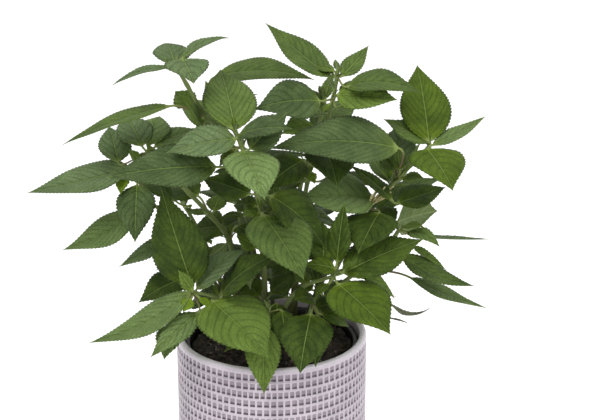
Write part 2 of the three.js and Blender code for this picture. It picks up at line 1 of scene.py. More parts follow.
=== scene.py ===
import bpy
import numpy as np
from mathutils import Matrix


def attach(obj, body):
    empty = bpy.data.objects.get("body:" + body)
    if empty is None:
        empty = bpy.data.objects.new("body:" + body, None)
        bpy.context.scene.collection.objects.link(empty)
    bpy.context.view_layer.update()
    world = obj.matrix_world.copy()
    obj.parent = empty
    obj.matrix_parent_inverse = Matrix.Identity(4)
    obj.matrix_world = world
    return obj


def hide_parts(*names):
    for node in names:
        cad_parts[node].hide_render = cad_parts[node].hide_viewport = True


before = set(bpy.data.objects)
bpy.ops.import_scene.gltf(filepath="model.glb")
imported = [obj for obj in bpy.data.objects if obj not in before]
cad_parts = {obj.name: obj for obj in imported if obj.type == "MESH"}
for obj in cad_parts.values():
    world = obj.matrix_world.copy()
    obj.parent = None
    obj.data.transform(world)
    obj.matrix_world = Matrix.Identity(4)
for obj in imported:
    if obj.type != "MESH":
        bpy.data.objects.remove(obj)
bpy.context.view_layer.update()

# The photograph's eye: it looks down on the pot by 19 degrees from 1.2 m away. Its place follows from
# the pixel where the 600 x 420 photograph shows the middle of the pot's rim.
PITCH = np.radians(19)
FOCAL = 1500  # pixels
PICTURE = (600, 420)  # pixels
RIM_SEEN_AT = (271.6, 329.8)
EYE_TO_RIM = 1200  # mm
POT_HEIGHT = 140  # mm
SENSOR = 36  # mm
SEES_FROM, SEES_TO = 0.05, 30  # m
FORWARD = np.array([0, np.cos(PITCH), -np.sin(PITCH)])
UPWARD = np.array([0, np.sin(PITCH), np.cos(PITCH)])


def sight(x, y):
    """The line of sight through a pixel: one unit forward, with the pixel's offsets over the focal length."""
    right = np.array([(x - PICTURE[0] / 2) / FOCAL, 0, 0])
    return right + UPWARD * (PICTURE[1] / 2 - y) / FOCAL + FORWARD


EYE = np.array([0, 0, POT_HEIGHT]) - EYE_TO_RIM * sight(*RIM_SEEN_AT)
lens = bpy.data.cameras.new("eye")
lens.sensor_width = SENSOR
lens.lens = SENSOR * FOCAL / PICTURE[0]
lens.clip_start = SEES_FROM
lens.clip_end = SEES_TO
eye = bpy.data.objects.new("eye", lens)
eye.location = EYE / 1000
eye.rotation_euler = (np.pi / 2 - PITCH, 0, 0)
bpy.context.scene.collection.objects.link(eye)
bpy.context.scene.camera = eye
bpy.context.scene.view_settings.view_transform = "Standard"


# The floor is a wide sheet of matt white board that glows a little, as white board on a light table
# does, and the light is a white room with two soft boxes high in front, a strong one at the left.
FLOOR_WIDE = 60000  # mm
FLOOR_COLOUR = (0.93, 0.93, 0.94, 1)
FLOOR_ROUGH = 0.9
FLOOR_GLOW = 0.3
WHITE = (1, 1, 1, 1)
ROOM_LIGHT = 0.82
LIGHT_AIM = (0, 0, 0.22)  # m
SOFT_BOXES = [
    # name, place in m, width in m, watts
    ("light_over", (-0.45, -0.6, 1.5), 0.9, 12),
    ("light_front", (1.2, -0.9, 1.0), 1.0, 8),
]


def linear(red, green, blue):
    """An sRGB colour of 0 to 255 a channel as the linear values that a shader takes."""
    value = np.array([red, green, blue]) / 255
    values = np.where(value < 0.04045, value / 12.92, ((value + 0.055) / 1.055) ** 2.4)
    return (*values.tolist(), 1.0)


class Shade:
    """A socket of a material's nodes. Arithmetic on it adds Math nodes, and node() adds any other node."""

    def __init__(self, tree, socket=None):
        self.tree = tree
        self.socket = socket

    def node(self, kind, settings=None, values=None, output=0):
        """Adds a node, sets its settings, then its sockets' values or links, and returns one output."""
        made = self.tree.nodes.new("ShaderNode" + kind)
        for name, value in (settings or {}).items():
            setattr(made, name, value)
        for name, value in (values or {}).items():
            if isinstance(value, Shade):
                self.tree.links.new(value.socket, made.inputs[name])
            else:
                made.inputs[name].default_value = value
        return Shade(self.tree, made.outputs[output])

    def math(self, operation, *others):
        """A Math node on this socket and the others."""
        return self.node("Math", {"operation": operation}, dict(enumerate((self, *others))))

    def __add__(self, other):
        return self.math("ADD", other)

    def __mul__(self, other):
        return self.math("MULTIPLY", other)

    def __sub__(self, other):
        return self.math("SUBTRACT", other)

    def __rsub__(self, other):
        return self.node("Math", {"operation": "SUBTRACT"}, {0: other, 1: self})

    __radd__ = __add__
    __rmul__ = __mul__

    def step(self, low, high, start=0.0, end=1.0):
        """A smooth rise from start to end while this socket goes from low to high."""
        bounds = {"Value": self, "From Min": low, "From Max": high, "To Min": start, "To Max": end}
        return self.node("MapRange", {"interpolation_type": "SMOOTHSTEP"}, bounds)

    def mix(self, first, second):
        """The first colour where this socket is 0, the second where it is 1, each a Shade or sRGB numbers."""
        colours = [colour if isinstance(colour, Shade) else linear(*colour) for colour in (first, second)]
        return self.node("Mix", {"data_type": "RGBA"}, {0: self, 6: colours[0], 7: colours[1]}, output=2)

    def parts(self):
        """The three numbers of a vector."""
        return [self.node("SeparateXYZ", None, {0: self}, output=k) for k in range(3)]

    def noise(self, scale, detail, roughness=0.5):
        """Soft noise from 0 to 1 over this vector, with about scale lumps to its unit."""
        values = {"Vector": self, "Scale": scale, "Detail": detail, "Roughness": roughness}
        return self.node("TexNoise", None, values)

    def bump(self, strength, distance):
        """The normal of a surface that this socket raises, by the distance in metres where it is 1."""
        return self.node("Bump", None, {"Strength": strength, "Distance": distance, "Height": self})


def finish_of(name):
    """A new material with an empty node tree, and a Shade to add its nodes with."""
    made = bpy.data.materials.new(name)
    made.use_nodes = True
    made.node_tree.nodes.clear()
    return made, Shade(made.node_tree)


def output_of(start, shader):
    """Wires a shader to the material's output."""
    out = start.tree.nodes.new("ShaderNodeOutputMaterial")
    start.tree.links.new(shader.socket, out.inputs["Surface"])


def mesh_object(name, points, faces, material, attributes=None):
    """Puts points (mm) and faces of three or four corners into a mesh. Where the volume within, as the sum
    of the faces' signed ones, comes out negative, every face is turned round, so that it looks outwards."""
    triangles = [f for f in faces if f.shape[1] == 3]
    quads = [f for f in faces if f.shape[1] == 4]
    halves = [q[:, [0, 1, 2]] for q in quads] + [q[:, [0, 2, 3]] for q in quads]
    corners = points[np.concatenate(triangles + halves)]
    volume = np.einsum("ij,ij->i", corners[:, 0], np.cross(corners[:, 1], corners[:, 2])).sum()
    if volume < 0:
        triangles = [f[:, ::-1] for f in triangles]
        quads = [f[:, ::-1] for f in quads]
    groups = triangles + quads
    totals = np.concatenate([np.full(len(f), f.shape[1]) for f in groups])
    corners = np.concatenate([f.ravel() for f in groups])
    mesh = bpy.data.meshes.new(name)
    mesh.vertices.add(len(points))
    mesh.vertices.foreach_set("co", (points / 1000).astype(np.float32).ravel())
    mesh.loops.add(len(corners))
    mesh.loops.foreach_set("vertex_index", corners.astype(np.int32))
    mesh.polygons.add(len(totals))
    mesh.polygons.foreach_set("loop_start", (np.cumsum(totals) - totals).astype(np.int32))
    mesh.polygons.foreach_set("loop_total", totals.astype(np.int32))
    mesh.polygons.foreach_set("use_smooth", np.ones(len(totals), bool))
    for key, values in (attributes or {}).items():
        layer = mesh.attributes.new(key, "FLOAT_VECTOR", "POINT")
        layer.data.foreach_set("vector", values.astype(np.float32).ravel())
    mesh.update(calc_edges=True)
    mesh.validate()
    mesh.materials.append(material)
    piece = bpy.data.objects.new(name, mesh)
    bpy.context.scene.collection.objects.link(piece)
    return piece


board, start = finish_of("floor_board")
chalk = {
    "Base Color": FLOOR_COLOUR, "Roughness": FLOOR_ROUGH,
    "Emission Color": WHITE, "Emission Strength": FLOOR_GLOW,
}
output_of(start, start.node("BsdfPrincipled", None, chalk))
half = FLOOR_WIDE / 2
sheet = np.array([[-half, -half, 0], [half, -half, 0], [half, half, 0], [-half, half, 0]])
floor = mesh_object("floor", sheet, [np.array([[0, 1, 2, 3]])], board)

room = bpy.data.worlds.new("white_room")
room.use_nodes = True
room.node_tree.nodes["Background"].inputs["Color"].default_value = WHITE
room.node_tree.nodes["Background"].inputs["Strength"].default_value = ROOM_LIGHT
bpy.context.scene.world = room

for name, place, size, watts in SOFT_BOXES:
    lamp = bpy.data.lights.new(name, "AREA")
    lamp.shape = "DISK"
    lamp.size = size
    lamp.energy = watts
    box = bpy.data.objects.new(name, lamp)
    towards = np.array(LIGHT_AIM) - np.array(place)
    flat = np.hypot(towards[0], towards[1])
    box.location = place
    box.rotation_euler = (np.arctan2(flat, -towards[2]), 0, np.arctan2(towards[1], towards[0]) - np.pi / 2)
    bpy.context.scene.collection.objects.link(box)


# The cover pot: cast earthenware under a thin lilac-grey glaze. Its wall is pressed with rows of small
# square pits, two wide rows and then a narrow one, and shade is painted into each pit, darkest at its foot.
WALL_RADIUS = 75.8  # mm, like every length from here on that says nothing else
TOP_ROW = 132.7  # height of the middle of the topmost pits
ROW_PITCH = 7.22  # from one row to the next
ROWS = 18
WIDE_ROW = {"pits": 88, "share": 0.69}
NARROW_ROW = {"pits": 105, "share": 0.7}
PIT_HIGH = 0.7  # share of the row's height
PIT_DEEP = {"foot": 1.45, "head": 0.95}
PIT_SLOPE = 0.1  # share of the pitch that a pit's side wall takes
PIT_SLOPE_UP = {"foot": 0.08, "head": 0.12}  # share of the row that its lower and its upper wall take
RIB_ROUND = 0.12  # how far the edges of an upright rib lie behind its middle
POT_AROUND = 264
POT_TOP = [
    # radius and height, from the wall over the lip and down the inside to the floor
    (75.85, 137.0), (75.8, 137.7), (75.5, 138.5), (74.9, 139.2), (74.0, 139.7), (73.0, 139.95), (72.0, 139.8),
    (71.0, 139.2), (70.3, 138.2), (69.95, 137.0), (69.8, 135.5),
    (69.8, 60), (69.8, 13), (69.2, 10), (66.8, 8.2), (50, 8), (25, 8),
]
POT_FOOT = [
    # radius and height, from the middle of the underside over the foot ring to the wall
    (25, 1.6), (60, 1.6), (64.5, 1.4), (66, 0.2), (67, 0), (71.5, 0), (73.6, 0.5), (75.2, 1.9), (75.8, 4.0),
]
SUNK = (74.7, 75.6)  # radius up to which the wall has the pits' painted shade, and from which it has its own colour
OUTSIDE = (71.2, 72.6)  # radius where the outside's colours begin on the lip
BAND_FOOT = (136.2, 136.6)  # height where the smooth band under the lip begins
LIP_EDGE = (137.2, 139.2)  # height over which a painted highlight pales the glaze to the lip
FOOT_EDGE = (0.6, 1.4)  # height over which the bare foot ring ends
PIT_FOOT_SHADE_SPAN = (0.24, 0.42)  # share of the row's height over which the painted shade at a pit's foot ends
GLAZE = (176, 166, 175), (193, 183, 192)  # sRGB, the darkest and the lightest of its clouds
# painted shade: the pits' floors darker than the ribs, and darkest at their foot
PIT_SHADE = (128, 117, 127), (150, 139, 148)
PIT_FOOT_SHADE = (84, 73, 82)
LIP_HIGHLIGHT = (212, 206, 213)
BARE_CLAY = (214, 203, 190)


def join_rings(first, second, first_start, second_start):
    """Triangles between two rings that need not have the same number of points. A step along one ring is
    joined to the last point that the other ring has passed by then; both rings start at angle 0."""
    a = np.append(np.arange(first) / first, 1)
    b = np.append(np.arange(second) / second, 1)
    beside_a = np.searchsorted(b, a[1:], side="left") - 1
    beside_b = np.searchsorted(a, b[1:], side="right") - 1
    i = np.arange(first)
    j = np.arange(second)
    lower = np.stack([first_start + i, first_start + (i + 1) % first, second_start + beside_a % second], 1)
    upper = np.stack([second_start + (j + 1) % second, second_start + j, first_start + beside_b % first], 1)
    return np.concatenate([lower, upper])


def join_rows(rows, around, start=0):
    """Four-cornered faces that join each ring of a tube to the next."""
    i, j = np.meshgrid(np.arange(rows - 1), np.arange(around), indexing="ij")
    k = (j + 1) % around
    quads = np.stack([i * around + j, i * around + k, (i + 1) * around + k, (i + 1) * around + j], -1)
    return start + quads.reshape(-1, 4)


def close_ring(around, start, middle, turned):
    """A fan of triangles from a ring to the point in its middle."""
    j = np.arange(around)
    fan = np.stack([start + j, start + (j + 1) % around, np.full(around, middle)], 1)
    return fan[:, ::-1] if turned else fan


def rings(profile, around):
    """The rings of a turned shape: each radius and height of the profile is carried round the axis."""
    profile = np.array(profile, float)
    angle = 2 * np.pi * np.arange(around) / around
    x = profile[:, :1] * np.cos(angle)
    y = profile[:, :1] * np.sin(angle)
    return np.stack([x, y, np.broadcast_to(profile[:, 1:], x.shape)], -1)


def pit_row(row, pits, share):
    """One row of pits as rings from its lower to its upper edge. The wall goes in by a depth times a mask
    across the pitch times a mask up the row; a mask is 0 on a rib and 1 on the floor of a pit."""
    edge = (1 - share) / 2
    slope = PIT_SLOPE / 2
    across = np.array([0, edge - slope, edge + slope, 1 - edge - slope, 1 - edge + slope])
    mask_across = np.array([0, 0, 1, 1, 0])
    low = (1 - PIT_HIGH) / 2
    foot = PIT_SLOPE_UP["foot"] / 2
    head = PIT_SLOPE_UP["head"] / 2
    up = np.array([0, low - foot, low + foot, 0.5, 1 - low - head, 1 - low + head, 1])
    mask_up = np.array([0, 0, 1, 1, 1, 0, 0])
    depth_up = np.interp(up, [low, 1 - low], [PIT_DEEP["foot"], PIT_DEEP["head"]])
    turn = (np.arange(pits)[:, None] + across).ravel() / pits
    cut_across = np.tile(mask_across, pits)
    rounded = RIB_ROUND * np.tile(across > 0, pits) * (1 - cut_across)
    inward = (mask_up * depth_up)[:, None] * cut_across + rounded * (mask_up[:, None] > 0)
    radius = WALL_RADIUS - inward
    height = TOP_ROW - row * ROW_PITCH + (up - 0.5) * ROW_PITCH
    x = radius * np.cos(2 * np.pi * turn)
    y = radius * np.sin(2 * np.pi * turn)
    return np.stack([x, y, np.broadcast_to(height[:, None], x.shape)], -1)


bands = [rings(POT_FOOT, POT_AROUND)]
for row in range(ROWS - 1, -1, -1):
    bands.append(pit_row(row, **(NARROW_ROW if row % 3 == 2 else WIDE_ROW)))
bands.append(rings(POT_TOP, POT_AROUND))
faces = []
made = 0  # points so far
below = 0  # points in the ring underneath
for band in bands:
    high, around, _ = band.shape
    if below:
        faces.append(join_rings(below, around, made - below, made))
    faces.append(join_rows(high, around, made))
    made += high * around
    below = around
faces += [close_ring(POT_AROUND, 0, made, True), close_ring(POT_AROUND, made - POT_AROUND, made + 1, False)]
middles = [[0, 0, POT_FOOT[0][1]], [0, 0, POT_TOP[-1][1]]]
points = np.concatenate([*(band.reshape(-1, 3) for band in bands), middles])

glaze, start = finish_of("lilac_glaze")
place = start.node("TexCoord", output=3)
x, y, z = place.parts()
radius = (x * x + y * y).math("SQRT") * 1000
height = z * 1000
below_band = height.step(*BAND_FOOT, 1, 0)
on_wall = radius.step(*OUTSIDE) * below_band
sunk = radius.step(*SUNK, 1, 0) * on_wall
row_share = ((height - TOP_ROW) * (1 / ROW_PITCH) + 0.5).math("FRACT")
clouds = place.noise(38, 3, 0.55)
specks = place.noise(420, 2)
# painted shade: the pits darker than the ribs, and darkest at the foot of each pit
coloured = sunk.mix(clouds.step(0.35, 0.7).mix(*GLAZE), clouds.step(0.3, 0.7).mix(*PIT_SHADE))
coloured = (row_share.step(*PIT_FOOT_SHADE_SPAN, 1, 0) * sunk).mix(coloured, PIT_FOOT_SHADE)
# a painted highlight along the lip
coloured = height.step(*LIP_EDGE).mix(coloured, LIP_HIGHLIGHT)
bare = height.step(*FOOT_EDGE, 1, 0)
coloured = bare.mix(coloured, BARE_CLAY)
gloss = {
    "Base Color": coloured, "Roughness": specks.step(0.3, 0.7, 0.2, 0.3) + bare * 0.5,
    "Normal": (clouds * 0.4 + specks * 0.12).bump(0.12, 0.0006), "IOR": 1.5,
}
output_of(start, start.node("BsdfPrincipled", None, gloss))
cover_pot = mesh_object("cover_pot_glazed", points, faces, glaze)
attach(cover_pot, "root")
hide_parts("cover_pot")


# The nursery pot: thin black polypropylene, thermoformed, with a turned-over rim and fine upright
# flutes. It stands loose in the cover pot, and only its rim shows.
NURSERY_AROUND = 160
NURSERY = [
    # radius and height, from the underside up the outside, over the rim and down the inside
    (50.5, 8.4), (52, 9.0), (56.0, 40), (61.4, 84), (66.6, 127.6),
    (68.4, 128.0), (68.8, 128.6), (68.8, 132.2), (68.5, 132.8), (67.9, 133.0), (66.7, 132.9), (65.8, 132.4),
    (65.3, 131.4), (65.1, 128.0), (59.9, 84), (54.6, 40), (50.6, 10.4),
]
FLUTES = 40
FLUTE_DEEP = 0.25
FLUTE_RADIUS = 60  # where the flutes are that deep
FLUTES_FROM, FLUTES_TO = 20, 126.5
BLACK = (16, 16, 17)
DUSTY = (40, 37, 34)


def closed_tube(grid, ends, marks=()):
    """Rings of points as one closed skin: each is joined to the next, and a fan closes the first and the last
    on a point of its own. A mark is three values that vary over the rings; an end takes its ring's first."""
    rows, around = grid.shape[:2]
    last = rows * around
    faces = [
        join_rows(rows, around),
        close_ring(around, 0, last, True),
        close_ring(around, last - around, last + 1, False),
    ]
    spread = []
    for mark in marks:
        values = np.stack([np.broadcast_to(value, (rows, around)) for value in mark], -1)
        spread.append(np.concatenate([values.reshape(-1, 3), values[0, :1], values[-1, :1]]))
    return np.concatenate([grid.reshape(-1, 3), ends]), faces, spread


shell = rings(NURSERY, NURSERY_AROUND)
turn = np.arctan2(shell[..., 1], shell[..., 0])
fluted = (shell[..., 2] > FLUTES_FROM) & (shell[..., 2] < FLUTES_TO)
shell[..., :2] *= (1 + fluted * FLUTE_DEEP / FLUTE_RADIUS * np.cos(FLUTES * turn))[..., None]
points, faces, _ = closed_tube(shell, [[0, 0, NURSERY[0][1]], [0, 0, NURSERY[-1][1]]])

plastic, start = finish_of("black_plastic")
place = start.node("TexCoord", output=3)
dust = place.noise(160, 6, 0.7)
matt = {
    "Base Color": dust.step(0.45, 0.75).mix(BLACK, DUSTY), "Roughness": dust.step(0.3, 0.8, 0.36, 0.62),
    "Normal": place.noise(900, 2).bump(0.2, 0.0003),
}
output_of(start, start.node("BsdfPrincipled", None, matt))
nursery = mesh_object("nursery_pot_shell", points, faces, plastic)
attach(nursery, "root")
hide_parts("nursery_pot")


# The potting soil: dark damp peat, poured loose round the roots. It fills the nursery pot to a little
# under the rim, lumpy on top, and the stems come up through it.
SOIL_LEVEL = 127.5
SOIL_RADIUS = 63.6
SOIL_SIDE = [(51.0, 11.0), (SOIL_RADIUS, 126.0)]  # radius and height, at the foot and under the top
SOIL_RINGS = 46
SOIL_AROUND = 220
LUMPS = {"widest": 26, "finest": 2.2, "high": 1.1, "waves": 14, "bend": 1.3, "seed": 3}
DIP = {"starts": 54, "wide": 9, "deep": 1.2}  # where the soil sinks towards the pot's wall
PEAT = (26, 22, 20), (70, 60, 52)
PEAT_PATCH = (50, 42, 36)


def soil_height(x, y):
    """The height of the ground: the sum of sine waves of many headings and lengths, each as high as it is
    long and bent by a sine across it, less the square of the share of the dip that is reached."""
    draw = np.random.default_rng(LUMPS["seed"])
    rough = np.zeros_like(x)
    for length in np.geomspace(LUMPS["widest"], LUMPS["finest"], LUMPS["waves"]):
        heading = draw.uniform(0, 2 * np.pi)
        shift = draw.uniform(0, 2 * np.pi, 2)
        along = x * np.cos(heading) + y * np.sin(heading)
        over = y * np.cos(heading) - x * np.sin(heading)
        bend = LUMPS["bend"] * np.sin(over / length + shift[1])
        rough += length / LUMPS["widest"] * np.sin(2 * np.pi * along / length + shift[0] + bend)
    edge = np.clip((np.hypot(x, y) - DIP["starts"]) / DIP["wide"], 0, 1)
    return SOIL_LEVEL + LUMPS["high"] * rough - DIP["deep"] * edge**2


share = (np.arange(1, SOIL_RINGS + 1) / SOIL_RINGS)[:, None]
turn = 2 * np.pi * np.arange(SOIL_AROUND) / SOIL_AROUND
x = SOIL_RADIUS * share * np.cos(turn)
y = SOIL_RADIUS * share * np.sin(turn)
ground = np.stack([x, y, soil_height(x, y)], -1)[::-1, ::-1]
side = rings(SOIL_SIDE, SOIL_AROUND)[:, ::-1]
middle = soil_height(np.zeros(1), np.zeros(1))[0]
points, faces, _ = closed_tube(np.concatenate([side, ground]), [[0, 0, SOIL_SIDE[0][1]], [0, 0, middle]])

peat, start = finish_of("damp_peat")
place = start.node("TexCoord", output=3)
grains = place.noise(700, 8, 0.75)
fibres = start.node("TexVoronoi", None, {"Vector": place, "Scale": 900})
coloured = grains.step(0.38, 0.7).mix(*PEAT)
coloured = (place.noise(90, 4).step(0.5, 0.7) * 0.6).mix(coloured, PEAT_PATCH)
damp = {
    "Base Color": coloured, "Roughness": grains.step(0.3, 0.7, 0.65, 0.95),
    "Normal": (grains * 0.7 + fibres * 0.5).bump(0.9, 0.0012),
}
output_of(start, start.node("BsdfPrincipled", None, damp))
soil = mesh_object("potting_soil_ground", points, faces, peat)
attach(soil, "root")
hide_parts("potting_soil")


# The crumbs of peat, with some pale grit among them, and the flat scraps of bark. They lie loose on the
# soil, each half sunk in it.
CRUMBS = {"count": 1500, "sizes": (0.4, 1.5), "stretch": 1.2, "flatness": 0.8}
BARK = {"count": 90, "sizes": (1.2, 2.4), "stretch": 2.2, "flatness": 0.35}
STREWN_RADIUS = SOIL_RADIUS - 2
UNEVEN = (0.75, 1.25)  # how far a lump's corners lie out, of its size
LIFTED = 0.25  # share of its size that a lump's middle lies over the ground
TILT = 0.35
GOLDEN = (1 + 5**0.5) / 2
LUMP_POINTS = np.array([
    [-1, GOLDEN, 0], [1, GOLDEN, 0], [-1, -GOLDEN, 0], [1, -GOLDEN, 0], [0, -1, GOLDEN], [0, 1, GOLDEN],
    [0, -1, -GOLDEN], [0, 1, -GOLDEN], [GOLDEN, 0, -1], [GOLDEN, 0, 1], [-GOLDEN, 0, -1], [-GOLDEN, 0, 1],
]) / 1.9  # so that each lies about 1 from the middle
LUMP_FACES = np.array([
    [0, 11, 5], [0, 5, 1], [0, 1, 7], [0, 7, 10], [0, 10, 11], [1, 5, 9], [5, 11, 4], [11, 10, 2], [10, 7, 6],
    [7, 1, 8], [3, 9, 4], [3, 4, 2], [3, 2, 6], [3, 6, 8], [3, 8, 9], [4, 9, 5], [2, 4, 11], [6, 2, 10],
    [8, 6, 7], [9, 8, 1],
])
CRUMB_BROWN = (24, 20, 18), (84, 68, 55)
GRIT = (122, 112, 98)
CRUMB_STAIN = (38, 30, 25)
CRUMB_ROUGH = 0.88
CRUMB_SEED = 7
dice = np.random.default_rng(CRUMB_SEED)


def scatter(count, sizes, stretch, flatness):
    """Lumps of twenty faces strewn on the ground, each stretched, turned and half sunk at a random place."""
    radius = STREWN_RADIUS * np.sqrt(dice.uniform(0, 1, count))
    angle = dice.uniform(0, 2 * np.pi, count)
    x = radius * np.cos(angle)
    y = radius * np.sin(angle)
    size = dice.uniform(*sizes, (count, 1, 1)) * dice.uniform(*UNEVEN, (count, len(LUMP_POINTS), 1))
    lump = LUMP_POINTS * size * np.array([stretch, 1, flatness])
    heading = dice.uniform(0, 2 * np.pi, (count, 1))
    turned = np.stack([
        lump[..., 0] * np.cos(heading) - lump[..., 1] * np.sin(heading),
        lump[..., 0] * np.sin(heading) + lump[..., 1] * np.cos(heading),
        lump[..., 2] + lump[..., 0] * dice.uniform(-TILT, TILT, (count, 1)),
    ], -1)
    middle = np.stack([x, y, soil_height(x, y) + LIFTED * size[:, 0, 0]], -1)
    points = (middle[:, None] + turned).reshape(-1, 3)
    faces = (len(LUMP_POINTS) * np.arange(count)[:, None, None] + LUMP_FACES).reshape(-1, 3)
    tone = np.repeat(dice.uniform(0, 1, count), len(LUMP_POINTS))
    return points, [faces], np.stack([tone, tone, tone], -1)


bits, start = finish_of("soil_crumbs")
tone = start.node("Attribute", {"attribute_name": "tone"}, output=1).parts()[0]
grains = start.node("TexCoord", output=3).noise(1100, 5, 0.7)
coloured = tone.step(0, 0.85).mix(*CRUMB_BROWN)
coloured = tone.step(0.94, 0.97).mix(coloured, GRIT)
coloured = (grains.step(0.35, 0.7) * 0.5).mix(coloured, CRUMB_STAIN)
crumbly = {"Base Color": coloured, "Roughness": CRUMB_ROUGH, "Normal": grains.bump(0.7, 0.0004)}
output_of(start, start.node("BsdfPrincipled", None, crumbly))
for name, strewn in (("soil_crumbs", scatter(**CRUMBS)), ("bark_scraps", scatter(**BARK))):
    points, faces, tones = strewn
    piece = mesh_object(name, points, faces, bits, {"tone": tones})
    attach(piece, "root")


# The leafy stems: square green shoots of the sage, rooted in the soil, with toothed leaves in pairs at
# their nodes. A leaf is one thin skin of blade and petiole, grown out of its stem.

